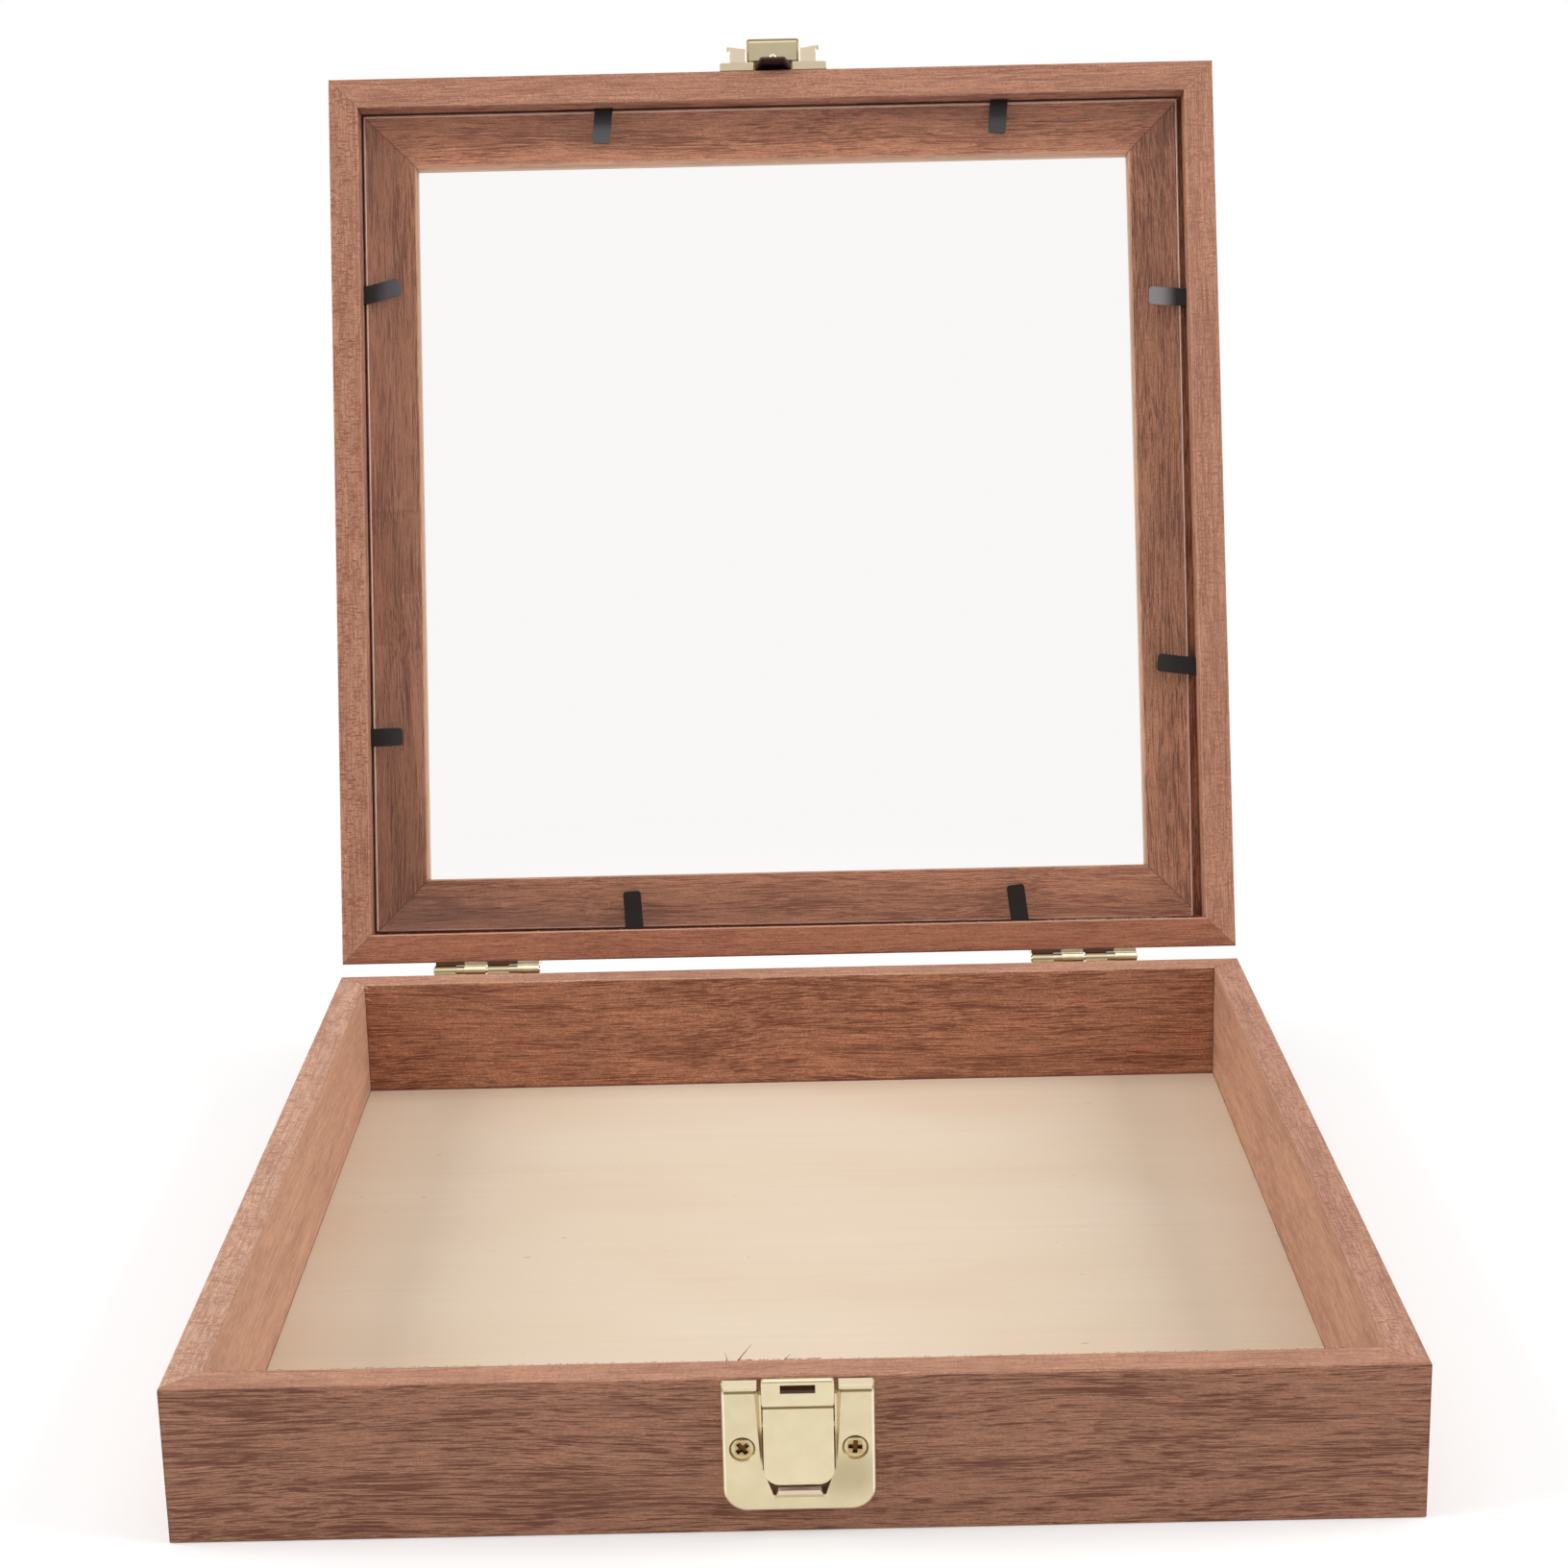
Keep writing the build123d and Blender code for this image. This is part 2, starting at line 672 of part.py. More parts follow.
# Latch spring: wound round the pin, a long leg to the wood and a short one behind the bill
coil_radius = pivot_radius + spring_fit + wire / 2
coil_length = spring_turns * spring_pitch
with BuildPart() as spring_wire:
    with BuildLine() as wire_path:
        Line((coil_radius, -spring_short_leg, 0), (coil_radius, 0, 0))
        Helix(spring_pitch, coil_length, coil_radius)
        Line((-coil_radius, 0, coil_length), (-coil_radius, -spring_long_leg, coil_length))
    with BuildSketch(Plane(origin=wire_path.line @ 0, z_dir=wire_path.line % 0)):
        Circle(wire / 2)
    sweep(path=wire_path.line)
with BuildPart() as latch_spring:
    coil_start = latch_face.from_local_coords((coil_length / 2, -pivot_drop, pivot_out))
    with Locations(Plane(origin=coil_start, x_dir=latch_face.z_dir, z_dir=-latch_face.x_dir)):
        add(spring_wire.part)
latch_spring.part.label = "latch_spring"
export_step(latch_spring.part, "parts/latch_spring.step")

# Thumb lift of the hook plate, drawn lying level: bent sheet with rounded sides
with BuildPart() as thumb_lift:
    with BuildSketch(side_view(Plane.XY)):
        with BuildLine() as lift_path:
            FilletPolyline(
                (hook_rise - sheet / 2, lift_root),
                (lift_reach - sheet / 2, lift_shelf + 3 * lift_bend),
                (lift_reach - sheet / 2, lift_shelf + sheet / 2),
                (lift_inner, lift_shelf + sheet / 2),
                radius=lift_bend,
            )
        trace(lift_path.line, sheet)
    extrude(amount=lift_width / 2, both=True)
    fillet(thumb_lift.faces().sort_by(Axis.Y)[0].edges().filter_by(Axis.Z), radius=lift_edge_round)

# Hook plate: a pan like the latch plate, with two flaps and the thumb lift
with BuildPart(hook_face) as hook_plate:
    with BuildSketch(hook_face) as outline:
        Rectangle(plate_width, hook_height, align=(Align.CENTER, Align.MIN))
        fillet(outline.vertices().group_by(Axis.Y)[-1], radius=plate_corner)
    extrude(amount=hook_rise)
    outward = Axis(hook_face.origin, hook_face.z_dir)
    upward = Axis(hook_face.origin, hook_face.y_dir)
    rim_edges = hook_plate.faces().sort_by(outward)[-1].edges()
    fillet(rim_edges.sort_by(upward)[1:], radius=plate_round)
    with BuildSketch(hook_face) as hollow:
        with Locations((0, sheet)):
            Rectangle(plate_width - 2 * sheet, hook_height - 2 * sheet, align=(Align.CENTER, Align.MIN))
        fillet(hollow.vertices().group_by(Axis.Y)[-1], radius=plate_corner - sheet)
    extrude(amount=hook_rise - sheet, mode=Mode.SUBTRACT)
    Box(
        notch_width,
        notch_height,
        hook_rise,
        align=(Align.CENTER, Align.MIN, Align.MIN),
        mode=Mode.SUBTRACT,
    )
    for hand in (-1, 1):
        flap_far = flap_near + flap_width
        with BuildSketch(plan_at(hook_face, 0)):
            with BuildLine():
                Polyline(
                    (hand * flap_near, hook_rise - sheet),
                    (hand * flap_far, hook_rise - sheet),
                    (hand * flap_far, flap_reach + flap_slope),
                    (hand * flap_near, flap_reach),
                    close=True,
                )
            make_face()
        extrude(amount=-sheet)
        with BuildSketch(plan_at(hook_face, 0)):
            with BuildLine():
                Polyline(
                    (hand * flap_near, flap_reach - sheet),
                    (hand * (flap_far + flap_lip_over), flap_reach + flap_slope - sheet),
                    (hand * (flap_far + flap_lip_over), flap_reach + flap_slope),
                    (hand * flap_near, flap_reach),
                    close=True,
                )
            make_face()
        extrude(amount=-flap_lip)
    add(thumb_lift.part)
    with Locations((0, lift_shelf, pip_out)):
        Cone(
            pip_radius,
            pip_radius / 2,
            pip_height,
            rotation=(90, 0, 0),
            align=(Align.CENTER, Align.CENTER, Align.MIN),
        )
    with Locations(*hook_screw_places.values()):
        countersink = latch_screw_head + latch_screw_sink + screw_fit
        CounterSinkHole(latch_screw_shank + screw_fit, countersink, counter_sink_angle=90)
hook_plate.part.label = "hook_plate"
export_step(hook_plate.part, "parts/hook_plate.step")

# Hook tongue: a pressed channel of spring steel, tucked under the plate, its barb for the slot
tongue_end = notch_height - tongue_end_fit
tongue_root = hook_rise - sheet - tongue_sheet - tongue_root_fit
barb_middle = -seam_gap - slot_drop
barb_half = slot_height / 2 - barb_fit
with BuildPart(hook_face) as hook_tongue:
    with BuildSketch(plan_at(hook_face, -tongue_drop)) as channel:
        with BuildLine():
            Polyline(
                (-tongue_width / 2, tongue_near),
                (-tongue_flat / 2, tongue_far),
                (tongue_flat / 2, tongue_far),
                (tongue_width / 2, tongue_near),
                (tongue_width / 2 - tongue_sheet, tongue_near),
                (tongue_flat / 2 - tongue_sheet / 2, tongue_far - tongue_sheet),
                (tongue_sheet / 2 - tongue_flat / 2, tongue_far - tongue_sheet),
                (tongue_sheet - tongue_width / 2, tongue_near),
                close=True,
            )
        make_face()
        levels = channel.vertices().group_by(Axis.Y)
        fillet(levels[-1], radius=tongue_round)
        fillet(channel.vertices().group_by(Axis.Y)[1], radius=tongue_round - tongue_sheet)
    extrude(amount=-tongue_drop - tongue_end)
    with Locations((0, tongue_end, tongue_root)):
        Box(
            tongue_flat - 2 * tongue_round,
            tongue_sheet,
            tongue_far - tongue_root,
            align=(Align.CENTER, Align.MAX, Align.MIN),
        )
    with Locations((0, tongue_end - tongue_sheet, tongue_root)):
        Box(
            tongue_root_width,
            tongue_root_end - tongue_end + tongue_sheet,
            tongue_sheet,
            align=(Align.CENTER, Align.MIN, Align.MIN),
        )
    with BuildSketch(side_view(hook_face)):
        with BuildLine():
            Polyline(
                (tongue_far - tongue_sheet / 2, barb_middle - barb_half),
                (tongue_far, barb_middle - barb_half),
                (barb_far, barb_middle - barb_half + barb_ramp),
                (barb_far, barb_middle + barb_half),
                (tongue_far - tongue_sheet / 2, barb_middle + barb_half),
                close=True,
            )
        make_face()
    extrude(amount=barb_width / 2, both=True)
hook_tongue.part.label = "hook_tongue"
export_step(hook_tongue.part, "parts/hook_tongue.step")

# Screws of the latch plate and of the hook plate
for fitting, seats in (("latch", latch_screw_seats), ("hook", hook_screw_seats)):
    for hand, seat in seats.items():
        screw = countersunk_screws([seat], latch_screw_head, latch_screw_shank, latch_screw_length)
        screw.part.label = f"{fitting}_screw_{hand}"
        export_step(screw.part, f"parts/{fitting}_screw_{hand}.step")
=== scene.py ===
# %% [markdown]
# # A wooden display box with a glass lid
# The measured model is ready: every board, hinge, screw and clip already has its real shape and
# place. This script dresses it. It finishes the bare reddish hardwood, the pale bottom panel, the
# pale gold fittings, the blackened clips and the glass, adds the fine torn fibres that a saw leaves
# on raw wood, and then sets the light and the camera.
#
# The model is loaded as a fixed frame. Nothing in it is moved or replaced: each of its pieces only
# gets a finish, and a few hair-thin pieces are added beside them.

# %% Load the measured model
import bmesh
import bpy
import math
from mathutils import Matrix, Vector


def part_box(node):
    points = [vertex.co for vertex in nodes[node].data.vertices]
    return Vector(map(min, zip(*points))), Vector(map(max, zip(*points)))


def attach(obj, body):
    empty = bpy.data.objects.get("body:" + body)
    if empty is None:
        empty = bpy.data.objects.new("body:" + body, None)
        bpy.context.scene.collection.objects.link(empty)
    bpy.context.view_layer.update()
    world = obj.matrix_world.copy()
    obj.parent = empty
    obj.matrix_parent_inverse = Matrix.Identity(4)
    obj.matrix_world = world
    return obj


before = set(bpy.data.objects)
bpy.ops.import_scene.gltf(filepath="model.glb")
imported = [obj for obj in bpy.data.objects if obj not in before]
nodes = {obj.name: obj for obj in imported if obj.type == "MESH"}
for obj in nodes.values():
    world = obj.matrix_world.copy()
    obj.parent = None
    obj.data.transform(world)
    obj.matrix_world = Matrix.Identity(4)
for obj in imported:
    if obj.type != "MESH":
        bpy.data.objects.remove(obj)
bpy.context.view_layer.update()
print("pieces in the frame:", len(nodes))

# %% [markdown]
# Blender works in metres, but a maker thinks of a wooden box in millimetres. Everything on the box
# is given in millimetres below, and MM turns it into metres. The lid is the only large piece that
# stands at an angle. Its hinge line comes from the frame, so a pattern can be laid out on the lid
# as if it were shut, and it still follows the lid's own boards.

# %% Units, the hinge line and the way each board runs
MM = 0.001
TO_MM = (1 / MM,) * 3
OPEN_ANGLE = math.radians(107)
swing_shut = Matrix.Rotation(OPEN_ANGLE, 3, "X")
swing_open = Matrix.Rotation(-OPEN_ANGLE, 3, "X")
hinge_low, hinge_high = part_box("hinge_left_pin")
hinge_line = (hinge_low + hinge_high) / 2
HINGE_Y, HINGE_Z = hinge_line.y / MM, hinge_line.z / MM
# A quarter turn about the upright axis leads from one board to the next
quarter_turns = {"front": 0, "right": 1, "back": 2, "left": 3}
print("hinge line at y, z in mm:", round(HINGE_Y, 2), round(HINGE_Z, 2))


# %% [markdown]
# A finish is a small graph of shader nodes. Built by hand, each needs many lines, so short helpers
# keep the later cells readable. The first three fill a node's inputs, add a node and start a
# finish. The next ones each stand for one kind of node: sums, soft steps, noise and mixed colours.
# The last ones paint marks, turn screen colours into light and dress a piece.

# %% Helpers for building a finish
def fill(tree, node, values):
    """Give a node's inputs their values: each is a socket to join or a plain value."""
    for key, value in values.items():
        if isinstance(value, bpy.types.NodeSocket):
            tree.links.new(value, node.inputs[key])
        else:
            node.inputs[key].default_value = value


def add_node(tree, kind, settings=None, values=None):
    """A node of one kind, with its settings and the values of its inputs."""
    node = tree.nodes.new(kind)
    for key, value in (settings or {}).items():
        setattr(node, key, value)
    fill(tree, node, values or {})
    return node


def new_finish(name):
    """An empty finish: a Principled shader joined to its output."""
    finish = bpy.data.materials.new(name)
    finish.use_nodes = True
    tree = finish.node_tree
    tree.nodes.clear()
    shader = add_node(tree, "ShaderNodeBsdfPrincipled")
    add_node(tree, "ShaderNodeOutputMaterial", values={"Surface": shader.outputs["BSDF"]})
    return finish, tree, shader


def maths(tree, operation, *values, clamp=False):
    """A Math node on sockets or plain numbers; returns its result."""
    settings = {"operation": operation, "use_clamp": clamp}
    return add_node(tree, "ShaderNodeMath", settings, dict(enumerate(values))).outputs[0]


def chained(operation):
    """A function that takes sockets or plain numbers together by one operation, left to right."""
    def chain(tree, first, *others):
        for other in others:
            first = maths(tree, operation, first, other)
        return first

    return chain


product, total, less = chained("MULTIPLY"), chained("ADD"), chained("SUBTRACT")
largest = chained("MAXIMUM")


def vector_maths(tree, operation, *values):
    """A Vector Math node on sockets or plain vectors; returns its outputs."""
    values = dict(enumerate(values))
    return add_node(tree, "ShaderNodeVectorMath", {"operation": operation}, values).outputs


def step_between(tree, value, low, high):
    """0 below low, 1 above high and a soft step between them."""
    values = {"Value": value, "From Min": low, "From Max": high}
    settings = {"interpolation_type": "SMOOTHSTEP"}
    return add_node(tree, "ShaderNodeMapRange", settings, values).outputs["Result"]


def object_place(tree):
    """The place on the object itself, in metres."""
    return add_node(tree, "ShaderNodeTexCoord").outputs["Object"]


def mapped(tree, place, values):
    """A place that is scaled, turned and moved."""
    values = {"Vector": place, **values}
    return add_node(tree, "ShaderNodeMapping", values=values).outputs["Vector"]


def noise(tree, place, scale, detail, roughness=0.5, distortion=0.0):
    """Even noise at a place."""
    values = {
        "Vector": place, "Scale": scale, "Detail": detail,
        "Roughness": roughness, "Distortion": distortion,
    }
    return add_node(tree, "ShaderNodeTexNoise", values=values).outputs["Fac"]


def grain_noise(tree, place, along, across, detail=2.0, roughness=0.5, seed=0.0, distortion=0.0):
    """Noise drawn out along the grain: its scale per millimetre along the grain and across it."""
    values = {"Scale": (along, across, across), "Location": (seed, seed, 0)}
    return noise(tree, mapped(tree, place, values), 1.0, detail, roughness, distortion)


def blend_colour(tree, share, first, second, blend_type="MIX"):
    """Mix two colours, each a socket or a plain colour, by a share from 0 to 1."""
    settings = {"data_type": "RGBA", "blend_type": blend_type}
    return add_node(tree, "ShaderNodeMix", settings, {0: share, 6: first, 7: second}).outputs[2]


def inside_box(tree, place, low, high, soft):
    """1 inside a box, fading to 0 outside it over a distance given for each axis."""
    low, high = Vector(low), Vector(high)
    for operation, *second in (
        ("SUBTRACT", (low + high) / 2), ("ABSOLUTE",), ("SUBTRACT", (high - low) / 2),
        ("DIVIDE", soft), ("MAXIMUM", (0.0, 0.0, 0.0)),
    ):
        place = vector_maths(tree, operation, place, *second)["Vector"]
    return step_between(tree, vector_maths(tree, "LENGTH", place)["Value"], 1.0, 0.0)


def paint_marks(tree, place, tint, marks):
    """Paint marks over a colour: each is a box, its softness, its colour and its share."""
    for low, high, soft, mark_colour, share in marks:
        mark = inside_box(tree, place, low, high, soft)
        tint = blend_colour(tree, product(tree, mark, share), tint, mark_colour)
    return tint


def soft_edges(tree, radius):
    """The Normal of a surface whose edges look rounded by a radius in millimetres."""
    bevel = add_node(tree, "ShaderNodeBevel", {"samples": 4}, {"Radius": radius * MM})
    return bevel.outputs["Normal"]


def relief(tree, height, strength, depth, **normal):
    """The Normal of a surface with a pattern raised on it, by a depth in millimetres."""
    values = {"Height": height, "Strength": strength, "Distance": depth * MM, **normal}
    return add_node(tree, "ShaderNodeBump", values=values).outputs["Normal"]


def colour(red, green, blue):
    """A display colour from 0 to 255 as the linear colour that a shader takes."""
    def linear(channel):
        share = channel / 255
        return share / 12.92 if share <= 0.04045 else ((share + 0.055) / 1.055) ** 2.4

    return (linear(red), linear(green), linear(blue), 1.0)


def add_object(name, data):
    """A new object in the scene that shows a mesh, or holds a lamp or the camera."""
    thing = bpy.data.objects.new(name, data)
    bpy.context.scene.collection.objects.link(thing)
    return thing


def dress(node_name, finish):
    """Give one piece of the model its only finish."""
    materials = nodes[node_name].data.materials
    materials.clear()
    materials.append(finish)


print("one brown as a shader colour:", [round(c, 3) for c in colour(150, 105, 82)[:3]])

# %% [markdown]
# ## The hardwood
# The box is made of a reddish-brown hardwood, planed and sanded but left bare. Seen close, it has
# three patterns at three scales. Wide soft bands of lighter and darker wood run along each board.
# Fine fibres run the same way, a fraction of a millimetre apart. Short dark dashes lie among them:
# they are pores, the wood's open vessels, cut lengthwise.
#
# An image could show all this, but it would smear round the corners. A solid pattern is used, which
# fills space as real grain fills a board, so the face, the rim and the inside of one board agree.
# It is drawn once as a node group that expects x along the grain, in millimetres. Each board then
# only has to turn its own coordinates into that group.

# %% Draw the grain once, as a node group
def add_sockets(group, in_out, kinds):
    """Named sockets on a node group; returns the identifier of each."""
    interface = group.interface
    return {
        name: interface.new_socket(name, in_out=in_out, socket_type=f"NodeSocket{kind}").identifier
        for name, kind in kinds.items()
    }


grain = bpy.data.node_groups.new("hardwood grain", "ShaderNodeTree")
grain_inputs = {
    "Place": "Vector", "Light wood": "Color", "Dark wood": "Color", "Pore colour": "Color",
    "Pore amount": "Float", "Streaks": "Float", "Saw marks": "Float",
}
add_sockets(grain, "INPUT", grain_inputs)
add_sockets(grain, "OUTPUT", {"Colour": "Color", "Height": "Float", "Roughness": "Float"})
grain_in = grain.nodes.new("NodeGroupInput").outputs
grain_out = grain.nodes.new("NodeGroupOutput")

# The grain wanders by up to this much: a slow noise along the board shifts the pattern across it
WANDER = 4.0
drift_place = mapped(grain, grain_in["Place"], {"Scale": (0.018, 0.05, 0.05)})
drift = noise(grain, drift_place, 1.0, 1.0).node.outputs["Color"]
wander = (0, WANDER, WANDER)
place = vector_maths(grain, "MULTIPLY_ADD", drift, wander, grain_in["Place"])["Vector"]

# Wide bands, threads, fine fibres, a fuzz of cut fibre ends, and two slow clouds: where the pores
# crowd, and where the tone changes
bands = grain_noise(grain, place, 0.012, 0.33, detail=3.0, roughness=0.6)
threads = grain_noise(grain, place, 0.05, 2.4, detail=3.0, roughness=0.7, seed=19.0)
fibres = grain_noise(grain, place, 0.12, 5.2, detail=3.0, roughness=0.8, seed=7.0)
fuzz = grain_noise(grain, place, 1.6, 4.0, roughness=0.7, seed=61.0)
crowding = grain_noise(grain, place, 0.035, 0.25, roughness=0.6, seed=31.0)
mottle = grain_noise(grain, place, 0.10, 0.16, seed=47.0)


def pore_dashes(along, across, start, reach, softness, seed):
    """Dashes where a stretched noise rises above a level that crowding lowers."""
    peaks = grain_noise(grain, place, along, across, detail=1.5, roughness=0.55, seed=seed)
    level = maths(grain, "MULTIPLY_ADD", crowding, -reach, start)
    return step_between(grain, less(grain, peaks, level), 0.0, softness)


# Pores are the sharp peaks of a noise stretched into dashes: short, long and hair-fine ones
short_pores = pore_dashes(0.16, 4.4, 0.74, 0.36, 0.08, 3.0)
long_pores = pore_dashes(0.05, 3.6, 0.77, 0.40, 0.08, 11.0)
hair_pores = product(grain, pore_dashes(0.22, 7.0, 0.67, 0.24, 0.12, 23.0), 0.7)
all_pores = largest(grain, short_pores, long_pores, hair_pores)
all_pores = maths(grain, "MULTIPLY", all_pores, grain_in["Pore amount"], clamp=True)
print("grain nodes so far:", len(grain.nodes))

# %% [markdown]
# A saw leaves its own marks. On the rims short reddish lines lie across the grain and along it,
# like a coarse weave, and fade in and out. They are noise as well, stretched the two ways. A number
# on each board sets how strong they are.

# %% Saw marks, and the colour, height and roughness of the wood
SAW_MARK = colour(144, 88, 69)
# The saw runs straight, so its marks take the place before the grain's wander
straight = grain_in["Place"]
cross_lines = grain_noise(grain, straight, 2.6, 0.55, roughness=0.7, seed=5.0)
long_lines = grain_noise(grain, straight, 0.60, 2.4, roughness=0.7, seed=71.0)
saw_patches = grain_noise(grain, straight, 0.20, 0.35, roughness=0.6, seed=83.0)
cross_lines = step_between(grain, cross_lines, 0.51, 0.60)
saw = largest(grain, cross_lines, step_between(grain, long_lines, 0.56, 0.66))
saw = product(grain, saw, step_between(grain, saw_patches, 0.28, 0.55), grain_in["Saw marks"])

wide_tone = product(grain, step_between(grain, bands, 0.25, 0.78), 0.45)
tone = total(grain, product(grain, mottle, 0.35), wide_tone)
wood = blend_colour(grain, tone, grain_in["Light wood"], grain_in["Dark wood"])
# Each fine pattern makes the wood a little lighter or darker about its own middle
swings = [
    product(grain, less(grain, pattern, 0.5), strength)
    for pattern, strength in ((threads, 0.65), (fibres, 1.1), (fuzz, 1.0))
]
streaks = total(grain, product(grain, total(grain, *swings), grain_in["Streaks"]), 1.0)
channels = dict.fromkeys(("Red", "Green", "Blue"), streaks)
streak_grey = add_node(grain, "ShaderNodeCombineColor", values=channels).outputs["Color"]
wood = blend_colour(grain, 1.0, wood, streak_grey, "MULTIPLY")
wood = blend_colour(grain, all_pores, wood, grain_in["Pore colour"])
wood = blend_colour(grain, saw, wood, SAW_MARK)

height = total(grain, product(grain, fibres, 0.35), product(grain, fuzz, 0.35))
height = less(grain, height, all_pores, product(grain, saw, 0.6))
rough = maths(grain, "MULTIPLY_ADD", threads, 0.20, 0.55)
fill(grain, grain_out, {"Colour": wood, "Height": height, "Roughness": rough})
print("grain nodes in all:", len(grain.nodes))


# %% [markdown]
# Each board is turned so that its own length becomes x. For the tray that is a quarter turn per
# board. The lid's boards are first swung shut about the hinge line. The boards meet in mitres, at
# 45 degrees, where glue and end fibres show as a thin dark line. It is found from the same
# coordinates: on the mitre, the distance along the board equals the distance out from the middle.
#
# The same coordinates tell a board's faces apart. Its rim lies at the seam between tray and lid,
# its inner wall faces the box, and a lid board's flange carries the glass. The photograph's light
# and the plane that cut each face give them different tones, so each board has a look of its own.

# %% Where the faces of a board lie, and its colours
SEAM = 27.1
PANEL_TOP = 2.0
INNER_FACE = {"tray": -94.0, "lid": -93.5}
FLANGE = 34.7
LID_TOP = 40.2
WINDOW_EDGE = -81.3
BOARD_END = 101.0
BOARD_ROUNDING = 0.3
GRAIN_DEPTH = 0.12
MITRE_WIDTH = 0.28
# The window's lip: its own paler wood, with painted backlight
LIP_WOOD_AND_BACKLIGHT = colour(232, 202, 170)
PALE_ARRIS = colour(222, 176, 150)
LIGHT_WOOD = colour(186, 135, 108)
DARK_WOOD = colour(162, 113, 89)
PORE = colour(106, 58, 46)


def board_place(tree, side, on_lid, seed):
    """Millimetres on a board: x along it, y into the box, z up in the shut box; and the same moved
    by a seed, so that no two boards are cut from the same place."""
    place = object_place(tree)
    if on_lid:
        home = hinge_line - swing_shut @ hinge_line
        shut = {"Rotation": (OPEN_ANGLE, 0, 0), "Location": (0, home.y, home.z)}
        place = mapped(tree, place, shut)
    turn = (0, 0, -quarter_turns[side] * math.pi / 2)
    board = mapped(tree, place, {"Scale": TO_MM, "Rotation": turn})
    return board, mapped(tree, board, {"Location": (seed * 331.0, seed * 57.0, seed * 23.0)})


def separate(tree, place):
    """The outputs X, Y and Z of a place."""
    return add_node(tree, "ShaderNodeSeparateXYZ", values={"Vector": place}).outputs


print("seam at", SEAM, "mm, top of the shut lid at", LID_TOP, "mm")


# %% One finish for each board
def board_finish(name, side, on_lid, seed, look):
    """The finish of one board: rim, inner wall and flange each take the grain in their own tone."""
    finish, tree, shader = new_finish(name)
    board, moved = board_place(tree, side, on_lid, seed)
    parts = separate(tree, board)
    x, y, z = parts["X"], parts["Y"], parts["Z"]
    off_mitre = total(tree, maths(tree, "ABSOLUTE", x), y)
    mitre = step_between(tree, off_mitre, -MITRE_WIDTH, -MITRE_WIDTH / 4)
    inner_face = INNER_FACE["lid" if on_lid else "tray"]
    # Each face fades into the next over a few tenths of a millimetre. The lid's rim lies above
    # the seam and the tray's below it
    away = 1 if on_lid else -1
    rim = step_between(tree, z, SEAM + away * 0.5, SEAM + away * 0.3)
    inner = step_between(tree, y, inner_face - 0.45, inner_face - 0.25)
    inner = product(tree, inner, less(tree, 1.0, rim))
    faces = {"rim": rim, "inner": inner}
    if on_lid:
        flange = product(tree, inner, step_between(tree, z, FLANGE - 0.4, FLANGE - 0.2))
        inner = less(tree, inner, flange)
        flange = product(tree, flange, step_between(tree, z, LID_TOP - 0.3, LID_TOP - 0.6))
        faces.update(inner=inner, flange=flange)

    # A planed face shows fewer pores and fainter streaks
    rough_share = less(tree, 1.0, product(tree, inner, look["planed"]))
    if on_lid:
        rough_share = less(tree, rough_share, product(tree, flange, look["planed flange"]))
    fewer_on_rim = product(tree, rim, look["pores"] * 0.5)
    pores = product(tree, rough_share, look["pores"])
    saw_on_rim = product(tree, rim, look["saw"])
    pattern = add_node(tree, "ShaderNodeGroup", {"node_tree": grain})
    pattern_inputs = {
        "Place": moved, "Light wood": LIGHT_WOOD, "Dark wood": DARK_WOOD, "Pore colour": PORE,
        "Pore amount": maths(tree, "SUBTRACT", pores, fewer_on_rim, clamp=True),
        "Streaks": product(tree, rough_share, look["streaks"]),
        "Saw marks": total(tree, saw_on_rim, product(tree, inner, look["inner saw"])),
    }
    fill(tree, pattern, pattern_inputs)

    wood = pattern.outputs["Colour"]
    for face, share in faces.items():
        wood = blend_colour(tree, share, wood, (*look[face], 1.0), "MULTIPLY")
    if on_lid:
        # The window's lip is paler: partly its own wood, partly painted light from behind
        lip = step_between(tree, y, WINDOW_EDGE - 0.40, WINDOW_EDGE - 0.25)
        lip_share = total(tree, product(tree, step_between(tree, z, 37.2, 39.2), 0.6), 0.3)
        wood = blend_colour(tree, product(tree, lip, lip_share), wood, LIP_WOOD_AND_BACKLIGHT)
    else:
        # Where the wall meets the bottom panel, an uneven dark line of painted contact shadow
        uneven = grain_noise(tree, board, 0.5, 0.5, detail=3.0, roughness=0.7)
        low = maths(tree, "MULTIPLY_ADD", uneven, -0.9, z)
        joint = product(tree, step_between(tree, low, PANEL_TOP + 0.25, PANEL_TOP - 0.15), inner)
        wood = blend_colour(tree, product(tree, joint, 0.55), wood, PORE)
    # The mitre's line is faint on the rim
    shown = less(tree, look["mitre"], product(tree, rim, look["mitre"] * 0.6))
    wood = blend_colour(tree, product(tree, mitre, shown), wood, PORE)
    # The rim's inner arris is painted paler
    rim_height = SEAM + away * 0.1
    low_corner = (-BOARD_END, inner_face - 0.20, rim_height - 0.15)
    high_corner = (BOARD_END, inner_face + 0.1, rim_height + 0.15)
    pale_arris = (low_corner, high_corner, (0.1, 0.12, 0.15), PALE_ARRIS, look["arris"])
    wood = paint_marks(tree, board, wood, (pale_arris, *look["marks"]))

    edges = soft_edges(tree, BOARD_ROUNDING)
    raised = relief(tree, pattern.outputs["Height"], 0.7, GRAIN_DEPTH, Normal=edges)
    surface = {
        "Base Color": wood, "Roughness": pattern.outputs["Roughness"], "Normal": raised,
        "Specular IOR Level": 0.25,
    }
    fill(tree, shader, surface)
    return finish


plain_look = {
    "inner": (1.2, 1.3, 1.4), "pores": 0.8, "streaks": 1.0, "planed": 0.0, "planed flange": 0.0,
    "saw": 0.3, "inner saw": 0.15, "mitre": 0.5, "arris": 0.35, "marks": (),
}
